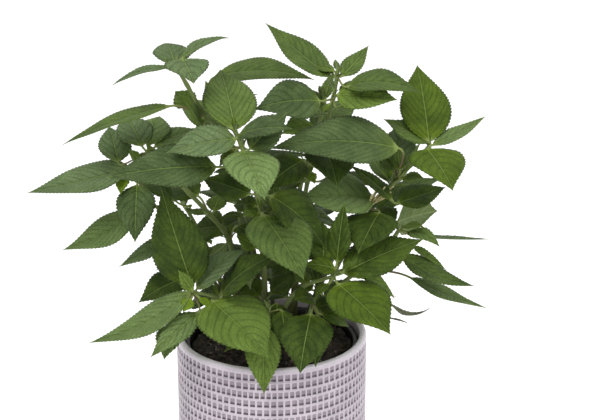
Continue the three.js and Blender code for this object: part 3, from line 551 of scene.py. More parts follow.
# A place is (x, y, front): the pixel where the photograph shows it, and how many mm it lies in front of
# the pot's middle. A stem has its root and half thickness in mm and its nodes, a node its place and its
# leaves. A leaf is (base, tip, width, roll, arch, look): its blade runs from base to tip, roll turns the
# blade about that line in degrees, and arch is the midrib's rise over its length.
STEMS = {
    "top_left": ((-20, 12), 2.4, [
        ((258, 292, 2), [
            ((252, 287, 0), (229, 277, -12), 20, -10, 0.1, "dark"),
            ((253, 297, -4), (228, 304, -28), 28, -30, 0.1, "dark"),
        ]),
        ((247, 216, 8), [((243, 216, 12), (220, 218, 20), 11, -10, 0.1, "dark")]),
        ((236, 160, 8), []),
        ((222, 130, 6), []),
        ((206.5, 117, 4), [
            ((170, 106, 4), (62, 145, 12), 32, -4, 0.035),
            ((202, 127, 12), (179, 94, 24), 26, -40, 0.03, "clean"),
            ((191, 107, -2), (175, 91, -14), 20, -30, 0.08),
        ]),
        ((187, 85, 2), []),
        ((176, 66, 0), [
            ((175, 65, -4), (166, 43, -44), 30, 0, 0.06, "grey"),
            ((182, 59, -2), (230, 38, -18), 18, 5, 0.125, "grey"),
            ((182, 59.5, 4), (194, 84, 34), 35, 0, 0.06, "grey"),
            ((169, 67.5, 2), (112, 85.5, 10), 19, -3, 0.075, "grey"),
        ]),
    ]),
    "left": ((-30, -8), 2.6, [
        ((236, 290, 8), [((231, 298, 12), (208, 312, 14), 24, -30, 0.1, "dark")]),
        ((229, 240, 10), [
            ((223, 227, 6), (191, 232, -8), 34, -34, 0.06, "dark"),
            ((226, 244, 14), (210, 256, 26), 12, 150, 0.05),
            ((238, 226, 14), (263, 250, 26), 20, 20, 0.15, "dark"),
        ]),
        ((209, 214, 14), [
            ((214, 211, 12), (223, 193, -2), 18, 0, 0.1),
            ((198, 196, 4), (172, 187, -18), 26, -30, 0.08, "dark"),
            ((205, 214, 10), (185, 211, 0), 9, -20, 0.05),
        ]),
        ((189, 193, 10), []),
        ((147, 152, -5), [
            ((118, 162, -6), (109, 126, -38), 27, 0, 0.06, "grey"),
            ((142, 146, -8), (124, 115, -44), 30, -8, 0.06, "grey"),
            ((149, 145, -10), (160, 116, -44), 30, 0, 0.08, "pale"),
            ((155, 147, -8), (203, 130, -28), 26, 10, 0.08, "pale"),
            ((140, 162, 2), (128, 149, 0), 10, -30, 0.05),
            ((124, 172, 0), (120.5, 195, 16), 13, 0, 0.05, "young"),
            ((132, 168, 0), (26.6, 193, 12), 40, -18, -0.012, "grey"),
        ]),
    ]),
    "centre": ((-6, -14), 2.6, [
        ((265, 300, 22), [
            ((271, 293, 20), (297, 275, 14), 24, 10, 0.08, "dark"),
            ((259, 296, 20), (240, 280, 10), 26, -20, 0.08, "dark"),
        ]),
        ((263, 250, 32), [
            ((256, 247, 37), (236, 236, 36), 22, -30, 0.08, "dark"),
            ((259, 257, 28), (250, 290, 24), 24, 0, 0.06),
            ((270, 255, 26), (293, 262, 8), 22, 30, 0.08, "dark"),
        ]),
        ((261, 212, 38), [
            ((263, 215, 50), (304, 280, 98), 54, 0, 0.04),
            ((258, 215, 38), (244, 203, 30), 20, -20, 0.08),
            ((256, 206, 34), (233, 206, 22), 18, -30, 0.1, "dark"),
        ]),
        ((257, 194, 38), [
            ((250, 194, 36), (201, 178, 22), 34, -20, 0.02, "dark"),
            ((270, 196, 38), (325, 249, 42), 48, 20, 0.1, "dark"),
        ]),
        ((249, 166, 40), [
            ((216, 167, 46), (106, 178, 60), 42, -32, 0.05, "shade"),
            ((233, 170, 42), (213, 173, 40), 13, -10, 0.05),
        ]),
        ((242, 147, 42), [
            ((243, 151, 48), (265, 200, 100), 43, 0, 0.03, "pale"),
            ((250, 149, 40), (288, 112, 26), 28, 40, 0.06, "shade"),
            ((234, 151, 40), (219, 167, 44), 13, -20, 0.08),
            ((228, 148, 38), (204, 153, 30), 16, -30, 0.08, "shade"),
        ]),
        ((235, 131, 42), [
            ((235, 130, 36), (220, 69, -36), 42, 0, 0.05),
            ((236, 139, 44), (166, 153, 52), 37, -26, 0.05, "grey"),
            ((239, 135, 42), (293, 129, 52), 32, 16, 0.08, "shade"),
        ]),
    ]),
    "top_right": ((8, 14), 2.4, [
        ((293, 300, -6), [
            ((287, 297, -10), (258, 300, -34), 26, -10, 0.1, "dark"),
            ((300, 296, -10), (318, 301, -34), 18, 10, 0.1, "dark"),
        ]),
        ((293, 255, -10), [
            ((285, 257, -6), (258, 268, -4), 24, -20, 0.08, "dark"),
            ((289, 262, -2), (283, 297, 6), 26, 0, 0.06),
            ((300, 254, -10), (336, 246, -22), 28, 15, 0.08, "dark"),
        ]),
        ((295, 220, -12), [((303, 214, -24), (340, 228, -36), 36, 10, 0.06)]),
        ((306, 165, -14), [
            ((303, 160, -6), (264, 191, 16), 36, -24, 0.08, "dark"),
            ((303, 182, -14), (278, 187, -26), 24, -30, 0.08, "dark"),
            ((307, 172, -14), (315, 184, -6), 12, 0, 0.08, "young"),
            ((311, 165, -20), (327, 179, -26), 20, 0, 0.06),
        ]),
        ((322, 136, -14), [
            ((324, 147, -6), (337, 187, 28), 42, -8, 0.06, "dark"),
            ((313, 126, -6), (281, 134, 4), 26, -24, 0.08, "bright"),
        ]),
        ((333, 99, -14), [
            ((337, 95, -8), (398, 100, 6), 34, 34, 0.04, "bright"),
            ((320, 101, -8), (254, 110, 4), 45, -28, 0.08, "shade"),
            ((337, 107, -8), (354, 107, 0), 9, 0, 0.05, "young"),
            ((327, 114, -18), (313, 118, -28), 10, 0, 0.05),
            ((333, 88, -8), (327, 78, -4), 8, 0, 0.05),
            ((329, 105, -8), (322, 113, -2), 9, 0, 0.05),
            ((340, 92, -14), (351, 80, -20), 8, 0, 0.05),
        ]),
        ((337, 77, -14), [
            ((330, 76.5, -16), (265, 22.5, -38), 34, -15, -0.02),
            ((342, 76, -18), (369, 45, -44), 17, 24, -0.04),
            ((334, 71, -14), (313, 67, -22), 12, -15, 0.05),
            ((337, 70, -10), (335, 59, -8), 8, 0, 0.05),
            ((347, 87, -8), (422, 94, -2), 38, 14, 0.12),
        ]),
    ]),
    "right": ((24, 8), 2.6, [
        ((318, 290, -2), [
            ((312, 290, -4), (297, 285, -12), 16, -20, 0.05),
            ((315, 282, -8), (306, 262, -40), 20, 0, 0.1, "dark"),
            ((324, 296, -6), (344, 305, -20), 26, 30, 0.1, "dark"),
        ]),
        ((342, 240, -2), []),
        ((367, 208, 0), [
            ((374, 200, 2), (298, 199, 10), 50, -22, 0.06, "pale"),
            ((379, 213, 14), (358, 254, 56), 43, 0, 0.03, "dark"),
        ]),
        ((383, 193, 1), [
            ((398, 203, 4), (446, 187, -10), 30, 20, 0, "dark"),
            ((392, 200, 14), (349, 165, 4), 20, -10, 0.04, "dark"),
            ((377, 187, -6), (361, 174, -16), 20, 0, 0.05),
        ]),
        ((397, 179, 2), [
            ((398, 148, 14), (269, 149, 22), 50, -28, 0.08, "shade"),
            ((396, 163, -6), (404, 123, -46), 28, 0, 0.08, "grey"),
            ((403, 178, 6), (424, 178, 14), 15, 20, 0.05),
            ((400, 170, 8), (397, 147, -8), 13, 0, 0.05),
            ((393, 171, -4), (379, 153, -16), 18, 0, 0.05),
            ((405, 172, 12), (417, 163, 18), 12, 20, 0.05),
        ]),
        ((414, 162, 2), []),
        ((430, 146, 0), [
            ((429, 142, -4), (417, 64.5, -62), 41, 0, 0.05, "clean"),
            ((433, 145, -2), (486, 116, -14), 19, 14, -0.03, "pale"),
            ((427, 143, -4), (383, 119, -18), 28, -14, 0.04),
            ((427, 149, 6), (453, 191, 50), 46, 0, 0.05, "clean"),
        ]),
    ]),
    "low_right": ((32, -10), 2.2, [
        ((325, 300, 8), [((331, 295, 6), (361, 284, -2), 22, 15, 0.1, "clean")]),
        ((362, 268, 10), [
            ((411, 278, 10), (487, 308, 20), 27, 0, -0.035, "pale"),
            ((391, 304, 2), (431, 307, 8), 17, -10, -0.24, "dry"),
            ((390, 318, 0), (408, 323, 4), 4, 0, 0.02, "dry"),
        ]),
        ((385, 248, 8), [
            ((401, 254, 14), (475, 286, 34), 33, 4, -0.085),
            ((412, 246, 2), (446, 270, 8), 13, 10, 0.03, "bright"),
        ]),
        ((399, 230, 4), [
            ((416, 236, -4), (489, 239, 2), 24, -14, -0.02, "grey"),
            ((408, 232, 8), (440, 247, 24), 21, 5, 0.12),
            ((398, 221, -4), (438, 211, -20), 43, -70, 0.04, "grey"),
            ((404, 226, 8), (424, 227, 18), 14, 10, 0.05),
            ((393, 225, -2), (370, 210, -16), 26, -25, 0.08, "dark"),
        ]),
    ]),
    "front_right": ((6, -30), 2.2, [
        ((284, 310, 38), []),
        ((301, 288, 46), [((306, 284, 44), (296, 269, 30), 15, 0, 0.05)]),
        ((334, 276, 55), [
            ((343, 273, 54), (424, 239, 34), 42, 22, 0.03, "dark"),
            ((338, 284, 62), (391, 335, 104), 54, 4, 0.03, "clean"),
            ((341, 271, 58), (356, 261, 60), 12, 0, 0.05),
            ((335, 269, 56), (304, 265, 60), 20, -28, 0.08, "clean"),
            ((337, 262, 46), (345, 202, 38), 20, 10, 0.03, "dark"),
            ((328, 284, 58), (315, 296, 66), 13, 0, 0.05, "dark"),
            ((357, 270, 44), (395, 299, 38), 26, 20, 0.06, "bright"),
            ((324, 262, 46), (320, 219, 22), 24, 0, 0.08, "dark"),
        ]),
    ]),
    "front_left": ((-16, -30), 2.2, [
        ((247, 314, 38), []),
        ((220, 298, 46), [
            ((221, 294, 50), (280, 254, 52), 34, 25, 0.1, "dark"),
            ((212, 301, 54), (269, 359, 98), 62, 8, 0.03, "bright"),
        ]),
        ((193, 292, 52), [
            ((192, 285, 50), (161, 188, 44), 44, -75, 0.04, "dark"),
            ((197, 289, 48), (248, 249, 34), 28, 15, 0.1, "grey"),
            ((191, 292, 54), (88, 343, 66), 32, -20, -0.09, "pale"),
            ((192, 290, 58), (178, 270, 60), 12, -75, 0.05, "bright"),
            ((198, 313, 58), (150, 358, 80), 22, -30, 0.04, "pale"),
            ((174, 324, 50), (164, 360, 72), 23, 0, 0.04, "pale"),
            ((200, 298, 56), (212, 309, 62), 11, 0, 0.05, "young"),
            ((191, 299, 58), (183, 312, 64), 12, -20, 0.05, "young"),
        ]),
    ]),
    "low_left": ((-34, 8), 2.2, [
        ((222, 296, -2), [((216, 298, -8), (190, 305, -30), 28, -30, 0.1, "dark")]),
        ((200, 262, -2), [((184, 278, 6), (138, 303, 24), 31, -20, 0.06, "dark")]),
        ((180, 236, -4), [((168, 237, 0), (118.5, 267, 16), 19, -20, -0.03, "grey")]),
        ((156, 206, -8), [
            ((136, 213, -4), (62, 250, 12), 32, -26, -0.075, "pale"),
            ((137, 185, 2), (135, 243, 34), 31, 0, 0.06, "shade"),
        ]),
    ]),
    "low_front": ((-10, -46), 1.8, [
        ((268, 312, 52), [
            ((262, 326, 68), (264, 395, 92), 28, 0, 0.08, "bright"),
            ((277, 304, 44), (276, 334, 60), 19, -8, 0.1, "dark"),
            ((256, 335, 66), (224, 352, 84), 14, -10, 0.08, "bright"),
            ((282, 311, 54), (287, 349, 77), 21, 8, 0.08, "dark"),
        ]),
    ]),
    "low_centre": ((20, -42), 1.8, [
        ((312, 304, 54), [
            ((311, 314, 68), (300, 374, 102), 42, 0, 0.06, "dark"),
            ((318, 318, 60), (315.5, 368, 90), 24, 0, 0.12, "dark"),
            ((322, 314, 54), (349, 327, 50), 22, 20, 0.1, "dark"),
            ((316, 308, 50), (342, 306, 38), 20, 20, 0.1, "dark"),
            ((312, 298, 54), (293, 300, 64), 24, -20, 0.1, "dark"),
        ]),
    ]),
}

# The stems behind, of which the photograph shows one leaf. Each rises from its root to its crown, in mm,
# and bears pairs of leaves from the share lowest of its height up, each pair a quarter turn on from the
# pair below. A leaf that would point to the plant's middle or come nearer than the nearest plane has dropped.
BACK_STEMS = {
    # root, half thickness, crown, lowest, and leaves of its crown that the photograph shows
    "back_far_left": ((-36, 24), 2.2, (-92, 76, 250), 0.36, []),
    "back_left": ((-18, 40), 2.4, (-47, 85, 299), 0.58, [((215, 77, -72), (315, 80, -60), 39, 16, 0.085)]),
    "back_right": ((18, 42), 2.4, (43, 98, 302), 0.48, []),
    "back_far_right": ((40, 22), 2.2, (108, 74, 250), 0.2, []),
    "back_low": ((0, 46), 2, (0, 116, 206), 0.35, []),
}
PAIRS = [
    # share of the way up, length of the blade in mm, rise in degrees
    (0, 66, -10), (0.36, 70, 0), (0.68, 72, 12), (0.9, 36, 24), (1, 24, 50),
]
PAIR_LEAF = {"petiole": 0.14, "width": 0.5, "arch": 0.08}  # shares of the length
SHADED_PAIRS = 2
NEAREST = 26  # mm behind the pot's middle
TUFT = {"leaves": 3, "short": 6, "long": 12}  # small new leaves in the fork of a node, lengths in mm
BACK_TUFT = {"leaves": 5, "short": 9, "long": 18}  # the same on a stem behind
TUFT_LEAN = (0, -0.4, 0.9)  # how much more of them points to the front and up
TUFT_LEAF = {"petiole": 0.25, "width": 0.5, "arch": 0.1}  # shares of the length
STEM_START = SOIL_LEVEL - 15
COLLAR = SOIL_LEVEL + 4
STEM_AROUND = 12
STEM_STEPS = 10  # rings from node to node
STEM_TAPER = 0.4  # share of its thickness that a stem loses to its top
STEM_CORNER = 0.1
STEM_ACROSS = (0.1, 1.0, 0.05)  # a direction in which no stem runs
STEM_SEED = 100
NODE = {"thin": 0.93, "swell": 0.25, "long": 3}  # share left between nodes, share more at one, mm
PETIOLE = {"half": 0.9, "thick": 1.7, "rings": 9}
OPENING = 0.07  # share of the blade over which it opens out of the petiole
OUTLINE = {"base": 0.75, "tip": 1.35, "most": 0.2545}  # powers of the half width, and its greatest value
COLUMNS = ((24, 8), (45, 14), (np.inf, 20))  # up to this length, this many columns
BLADE = {"page": 0.26, "thick": 0.42, "midrib": 0.55, "midrib_half": 0.8, "midrib_on_top": 0.45}
TOOTH = {"pitch": 2.8, "depth": 0.95, "form": (1, 0.2, 0), "full_from": 6, "least": 0.15}
VEIN_GAP = 8.5  # mm between side veins on a long leaf
VEIN_FORWARD = 0.44  # share of the blade's length that a side vein gains by the margin
QUILT = 0.5  # mm that the blade swells between its veins
QUILT_FROM = 50  # mm of length from which it swells by all of that
CRINKLE = 0.16  # mm that it puckers between the finer veins
WAVE = 0.05  # share of the half width that the margin waves
YOUNG = 26  # mm: a leaf shorter than this is still growing, and fresher the shorter it is
LIGHTNESS_SPREAD = 0.15
LOOKS = {
    # lightness (painted light and shade), greyness (a painted sheen), freshness and dryness, each from 0 to 1
    "": (0.4, 0.4, 0, 0),
    "clean": (0.3, 0, 0.05, 0),
    "dark": (0, 0.1, 0, 0),
    "grey": (0.5, 1, 0, 0),
    "shade": (0.05, 0.8, 0, 0),
    "pale": (0.85, 0.7, 0, 0),
    "bright": (0.8, 0.3, 0.1, 0),
    "young": (0.95, 0, 0.8, 0),
    "dry": (0.4, 1, 0, 1),
}
MARKS = (
    "flat_place",  # mm along the leaf or stem, mm across it, a number of its own
    "form",  # side veins passed since the base, share across from -1 to 1, 1 on top and -1 below
    "growth",  # share of the way to the tip, lightness (painted light and shade), and 1 on a blade, 0 on a petiole, -1 on a stem
    "look",  # freshness, greyness (a painted sheen), dryness
)


def seen(place):
    """Where the line of sight through a pixel meets the upright plane that far in front of the middle."""
    x, y, front = place
    line = sight(x, y)
    return EYE + line * (-front - EYE[1]) / line[1]


def bezier(t, p):
    """A point and a direction of the Bezier curve with control points p at each t, by de Casteljau's rule."""
    t = t[:, None]
    while len(p) > 2:
        p = [a + (b - a) * t for a, b in zip(p[:-1], p[1:])]
    direction = p[1] - p[0]
    return p[0] + direction * t, direction / np.linalg.norm(direction, axis=-1, keepdims=True)


def smooth(value, low, high):
    """A smooth rise from 0 to 1 while the value goes from low to high."""
    share = np.clip((value - low) / (high - low), 0, 1)
    return share * share * (3 - 2 * share)


def unit(vector):
    """The vector over its length."""
    return vector / np.linalg.norm(vector, axis=-1, keepdims=True)


def leaf_curves(root, base, tip, roll, arch):
    """The control points of a leaf's petiole and of its blade, and the way in which the blade is wide. The
    blade's inner two are lifted by 4/3 of its arch, and the petiole runs into the blade without a kink."""
    length = np.linalg.norm(tip - base)
    along = (tip - base) / length
    face = unit(np.array([0, 0, 1.0]) - along[2] * along)
    angle = np.radians(roll)
    face = face * np.cos(angle) + np.cross(along, face) * np.sin(angle)
    lift = face * (4 / 3) * arch * length
    blade = [base, base + (tip - base) / 3 + lift, base + (tip - base) * 2 / 3 + lift, tip]
    reach = np.linalg.norm(base - root)
    petiole = [root, root + (base - root) / 3, base - unit(blade[1] - blade[0]) * reach / 3, base]
    return petiole, blade, np.cross(along, face)


def relief(u, v, top, half, across, length, draw):
    """How high a blade's skin stands over its curve, and the side veins passed since the base. Each half
    rises from the midrib by 1.3 |v| - 0.9 v^2 and sinks again to its margin, like the pages of an open book.
    The vein count goes up with u and down with |v|. The blade swells by |sin|^0.8 between whole counts,
    puckers by faster sines and waves at its margin, and its midrib is a bell curve across it."""
    away = np.abs(v)
    veins = max(4, round(length / VEIN_GAP))
    forward = VEIN_FORWARD * (0.62 * away + 0.38 * v * v) * (0.5 + 0.5 * smooth(u, 0, 0.35))
    shift = draw.uniform(0, 2 * np.pi, 4)
    uneven = 0.09 * np.sin(7 * u + 3 * v + shift[2]) + 0.05 * np.sin(19 * u - 7 * v + shift[3])
    count = veins * (u * 1.15 + 0.06 - forward) + uneven
    inner = smooth(away, 0.02, 0.25) * (1 - smooth(away, 0.82, 1.0)) * (1 - smooth(u, 0.85, 1))
    quilt = QUILT * min(1, length / QUILT_FROM) * np.abs(np.sin(np.pi * count)) ** 0.8 * inner
    wave = np.where(v < 0, np.sin(9 * u + shift[0]), np.sin(8 * u + shift[1]))
    curl = WAVE * half * wave * v * v * smooth(u, 0.1, 0.3)
    page = BLADE["page"] * (half - PETIOLE["half"]) * (1.3 * away - 0.9 * v * v)
    skin = top * BLADE["thick"] / 2 * (1 - away**6)
    rib = np.exp(-((across / BLADE["midrib_half"]) ** 2)) * BLADE["midrib"] * (1 - u)
    rib = rib * np.where(top < 0, -1.0, -BLADE["midrib_on_top"])
    crinkle = CRINKLE * np.sin(2.3 * across + 2 * np.sin(5 * count)) * np.sin(4 * np.pi * count + v) * inner
    return page + quilt + crinkle + curl + skin + rib, count


def leaf(root, base, tip, width, roll, arch, look, draw):
    """A leaf as one closed skin: rings round the petiole, then round the blade. Half the blade's width at u
    from base 0 to tip 1 is the share u^0.75 (1-u)^1.35, less a notch between teeth. A ring runs over the top
    from v = -1 to 1 and back below. The petiole's oval opens into the flat blade over its first part."""
    petiole, blade, side = leaf_curves(root, base, tip, roll, arch)
    length = np.linalg.norm(tip - base)
    notch = np.tile(TOOTH["form"], max(4, round(length / TOOTH["pitch"])))
    place = np.arange(len(notch)) / len(notch)
    petiole_place = np.linspace(0, 1, PETIOLE["rings"] + 1)[:-1]
    blade_at, blade_way = bezier(place, blade)
    petiole_at, petiole_way = bezier(petiole_place, petiole)
    centre = np.concatenate([petiole_at, blade_at])
    up = unit(np.cross(side, np.concatenate([petiole_way, blade_way])))
    before = np.zeros(len(petiole_place))
    u = np.concatenate([before, place])[:, None]
    notch = np.concatenate([before, notch])[:, None]

    columns = next(count for longest, count in COLUMNS if length < longest)
    over = np.linspace(-1, 1, columns + 1)
    v = np.concatenate([over, over[-2:0:-1]])[None]
    top = np.concatenate([np.ones(columns + 1), -np.ones(columns - 1)])[None]
    opened = smooth(u, 0, OPENING)
    greatest = width / 2 * u ** OUTLINE["base"] * (1 - u) ** OUTLINE["tip"] / OUTLINE["most"]
    toothed = greatest - TOOTH["depth"] * notch * np.clip(greatest / TOOTH["full_from"], TOOTH["least"], 1)
    half = np.maximum(PETIOLE["half"] * (1 - u), toothed)
    across = v * half * opened + np.sin(v * np.pi / 2) * half * (1 - opened)
    flat, count = relief(u, v, top, half, across, length, draw)
    rounded = top * PETIOLE["thick"] / 2 * np.cos(v * np.pi / 2)
    rise = flat * opened + rounded * (1 - opened)
    points = centre[:, None] + side * across[..., None] + up[:, None] * rise[..., None]

    run = np.concatenate([(petiole_place - 1) * np.linalg.norm(base - root), place * length])[:, None]
    light, grey, fresh, dry = LOOKS[look]
    light = np.clip(light + draw.uniform(-LIGHTNESS_SPREAD, LIGHTNESS_SPREAD), 0, 1)
    return closed_tube(points, [root, tip], (
        (run, across, draw.uniform(0, 100)),
        (count, v, top * (np.abs(v) < 0.999)),
        (u, light, opened),
        (max(fresh, (YOUNG - length) / YOUNG), grey, dry),
    ))


def through(path, steps):
    """A smooth curve through the points of a path, steps points a span: the centripetal Catmull-Rom spline,
    whose knots are the square roots of the distances, by Barry and Goldman's rule of three levels."""
    path = np.array(path)
    path = np.concatenate([[2 * path[0] - path[1]], path, [2 * path[-1] - path[-2]]])
    knots = np.concatenate([[0], np.cumsum(np.linalg.norm(np.diff(path, axis=0), axis=1) ** 0.5)])
    spans = []
    for k in range(1, len(path) - 2):
        t = np.linspace(knots[k], knots[k + 1], steps, endpoint=k == len(path) - 3)[:, None]
        level = path[k - 1:k + 3]
        s = knots[k - 1:k + 3]
        for wide in (1, 2):
            level = [
                (level[m] * (s[m + wide] - t) + level[m + 1] * (t - s[m])) / (s[m + wide] - s[m])
                for m in range(4 - wide)
            ]
        spans.append((level[0] * (s[2] - t) + level[1] * (t - s[1])) / (s[2] - s[1]))
    return np.concatenate(spans)


def stalk(root, half, nodes, draw):
    """A stem as a closed tube: a ring with four rounded corners carried along the curve through its nodes,
    thinner to the top and swollen by a bell curve at each node. Its centre, spokes and radii come with it."""
    path = [(root[0], root[1], STEM_START), (root[0], root[1], COLLAR)] + [tuple(node) for node in nodes]
    centre = through(path, STEM_STEPS)
    way = unit(np.gradient(centre, axis=0))
    run = np.concatenate([[0], np.cumsum(np.linalg.norm(np.diff(centre, axis=0), axis=1))])
    share = run / run[-1]
    one = unit(np.cross(way, np.array(STEM_ACROSS)))
    two = np.cross(way, one)
    near = np.min(np.linalg.norm(centre[:, None] - np.array(nodes)[None], axis=-1), axis=1)
    swollen = NODE["thin"] + NODE["swell"] * np.exp(-((near / NODE["long"]) ** 2))
    radius = half * (1 - STEM_TAPER * share) * swollen
    turn = 2 * np.pi * np.arange(STEM_AROUND) / STEM_AROUND
    squared = 1 + STEM_CORNER * np.cos(4 * turn)
    spokes = one[:, None] * np.cos(turn)[None, :, None] + two[:, None] * np.sin(turn)[None, :, None]
    points = centre[:, None] + spokes * (radius[:, None] * squared)[..., None]
    seed = draw.uniform(0, 100)
    light = draw.uniform(0, 1)
    skin = closed_tube(points, [centre[0], centre[-1]], (
        (run[:, None], half * turn, seed),
        (near[:, None], 0, 0),
        (share[:, None], light, -1),
        (0, 0, 0),
    ))
    return skin, (centre, spokes, radius)


def in_place(listed_leaf):
    """A leaf of the tables with its base and tip in mm and its look named, if only by an empty word."""
    base, tip, width, roll, arch, *look = listed_leaf
    return seen(base), seen(tip), width, roll, arch, look[0] if look else ""


def paired(root, crown, lowest, shown):
    """The nodes and leaves of a stem behind: PAIRS along a quadratic curve from its root to its crown."""
    foot = np.array([*root, COLLAR], float)
    knee = np.array([*root, (SOIL_LEVEL + crown[2]) / 2])
    outward = np.arctan2(crown[1], crown[0])
    nodes = []
    for k, (up, length, rise) in enumerate(PAIRS):
        at = bezier(np.array([lowest + (1 - lowest) * up]), [foot, knee, np.array(crown, float)])[0][0]
        # the lowest pairs get the painted shade of the dark look
        look = "dark" if k < SHADED_PAIRS else ""
        leaves = []
        for turn in ((-np.pi / 2, np.pi / 2) if k % 2 else (0,)):
            azimuth = outward + turn
            out = unit(np.array([np.cos(azimuth), np.sin(azimuth), np.tan(np.radians(rise))]))
            base = at + PAIR_LEAF["petiole"] * length * out
            tip = base + length * out
            if tip[1] > NEAREST:
                leaves.append((base, tip, PAIR_LEAF["width"] * length, 0, PAIR_LEAF["arch"], look))
        nodes.append((at, leaves))
    nodes[-1][1].extend(in_place(listed_leaf) for listed_leaf in shown)
    return nodes


def tuft(at, draw, leaves, short, long):
    """The small new leaves in the fork of a node: each heads a random way, leant up and a little forward."""
    found = []
    for _ in range(leaves):
        out = unit(draw.normal(size=3) + np.array(TUFT_LEAN))
        length = draw.uniform(short, long)
        look = ("young", "", "dark")[draw.integers(3)]
        base = at + TUFT_LEAF["petiole"] * length * out
        tip = at + (1 + TUFT_LEAF["petiole"]) * length * out
        found.append((base, tip, TUFT_LEAF["width"] * length, 0, TUFT_LEAF["arch"], look))
    return found


def joined(skins):
    """Closed skins as one mesh: points and marks end to end, and the faces numbered on."""
    points, faces, marks = zip(*skins)
    starts = np.cumsum([0] + [len(part) for part in points])
    faces = [f + first for part, first in zip(faces, starts) for f in part]
    return np.concatenate(points), faces, [np.concatenate(mark) for mark in zip(*marks)]


# The colours of the leaves and stems: green pigment with shade painted into the furrows of the veins on top
# and veins paler below, light, shade and a grey sheen painted leaf by leaf, and light that comes through the
# blade.
GREEN = (46, 64, 14), (122, 150, 44)  # the darkest and the lightest leaf, lit and shaded by paint
# the same greens, greyed by a painted sheen
SHEEN_GREYED = (70, 88, 52), (132, 154, 104)
# painted shade in the furrows of the veins and their net on top
VEIN_FURROW_SHADE = (26, 46, 6)
VEIN_LINE_SHADE = (22, 40, 8)
NET_LINE_SHADE = (28, 48, 10)
MIDRIB = (134, 156, 80)
MARGIN = (120, 142, 74)
NEW_GREEN = (132, 158, 20)
UNDERSIDE = (92, 112, 62), (132, 150, 92)
UNDER_VEIN = (156, 170, 118)
UNDER_MIDRIB = (164, 178, 126)
DRIED = (112, 118, 90), (156, 158, 132)
PETIOLE_COLOUR = (120, 108, 78), (128, 144, 78)  # at the stem and at the blade
STEM_COLOUR = (66, 74, 34), (112, 130, 72)  # at the foot and at the top
STEM_BROWN = (94, 80, 56)
GLOW = (84, 118, 8), (140, 176, 26)
GLOW_SHARE = 0.2
SHEEN = (214, 226, 206)

foliage, start = finish_of("sage_foliage")
flat_place, form, growth, look = (
    start.node("Attribute", {"attribute_name": mark}, output=1) for mark in MARKS
)
run, across, _ = flat_place.parts()
count, v, on_top = form.parts()
u, light, part = growth.parts()
fresh, grey, dry = look.parts()
opened = part.step(0, 1)
woody = part.step(-1, 0, 1, 0)
blotches = flat_place.noise(0.07, 3, 0.6)
felt = flat_place.noise(2.2, 4, 0.7)
net = start.node("TexVoronoi", {"feature": "DISTANCE_TO_EDGE"}, {"Vector": flat_place, "Scale": 0.42})
net_line = net.step(0, 0.2, 1, 0)
away = v.math("ABSOLUTE")
vein = ((count + 0.5).math("FRACT") - 0.5).math("ABSOLUTE")
veined = away.step(0.9, 0.99, 1, 0) * u.step(0.88, 0.98, 1, 0)
vein_line = vein.step(0.02, 0.09, 1, 0) * veined
furrow_shade = vein.step(0.05, 0.26, 1, 0) * veined
off_middle = across.math("ABSOLUTE")
midrib = off_middle.step(0.15, 0.5, 1, 0)
rib_furrow_shade = off_middle.step(0.4, 2.2, 1, 0)

# painted light and shade, and a painted grey sheen, from each leaf's look, with random blotches
lighter = light * 0.75 + blotches.step(0.3, 0.7) * 0.25
top_colour = grey.mix(lighter.mix(*GREEN), lighter.mix(*SHEEN_GREYED))
# painted shade in the furrows beside the side veins and the midrib, and along the veins and their net
top_colour = (furrow_shade * 0.15).mix(top_colour, VEIN_FURROW_SHADE)
top_colour = (vein_line * 0.2).mix(top_colour, VEIN_LINE_SHADE)
top_colour = (net_line * 0.26).mix(top_colour, NET_LINE_SHADE)
top_colour = (rib_furrow_shade * 0.3).mix(top_colour, VEIN_FURROW_SHADE)
top_colour = (midrib * u.step(0.2, 0.9, 0.8, 0.45)).mix(top_colour, MIDRIB)
top_colour = (away.step(0.95, 1) * 0.3).mix(top_colour, MARGIN)
new = u.step(0, 0.22, 1, 0) * (fresh * 0.6 + 0.2) + fresh * 0.3
top_colour = new.mix(top_colour, NEW_GREEN)
under_colour = lighter.mix(*UNDERSIDE)
under_colour = (vein_line * 0.5 + net_line * 0.16).mix(under_colour, UNDER_VEIN)
under_colour = midrib.mix(under_colour, UNDER_MIDRIB)
blade_colour = on_top.step(-0.2, 0.2).mix(under_colour, top_colour)
blade_colour = dry.mix(blade_colour, blotches.step(0.35, 0.65).mix(*DRIED))
stem_colour = u.step(0.1, 0.85).mix(*STEM_COLOUR)
stem_colour = (felt.step(0.4, 0.75) * 0.5).mix(stem_colour, STEM_BROWN)
stalk_colour = woody.mix(run.step(-14, -2).mix(*PETIOLE_COLOUR), stem_colour)
rough = (1 - vein_line) * 0.6 + (1 - net_line) * 0.45 + felt * 0.3
bump = rough.bump(0.8, 0.0006)
surface = start.node("BsdfPrincipled", None, {
    "Base Color": opened.mix(stalk_colour, blade_colour), "Roughness": felt.step(0.3, 0.7, 0.42, 0.6),
    "Normal": bump, "Specular IOR Level": 0.14,
    "Sheen Weight": 0.03, "Sheen Roughness": 0.45, "Sheen Tint": linear(*SHEEN),
})
glow_colour = opened.mix(stalk_colour, lighter.mix(*GLOW))
glow = start.node("BsdfTranslucent", None, {"Color": glow_colour, "Normal": bump})
output_of(start, start.node("MixShader", None, {0: opened * GLOW_SHARE, 1: surface, 2: glow}))

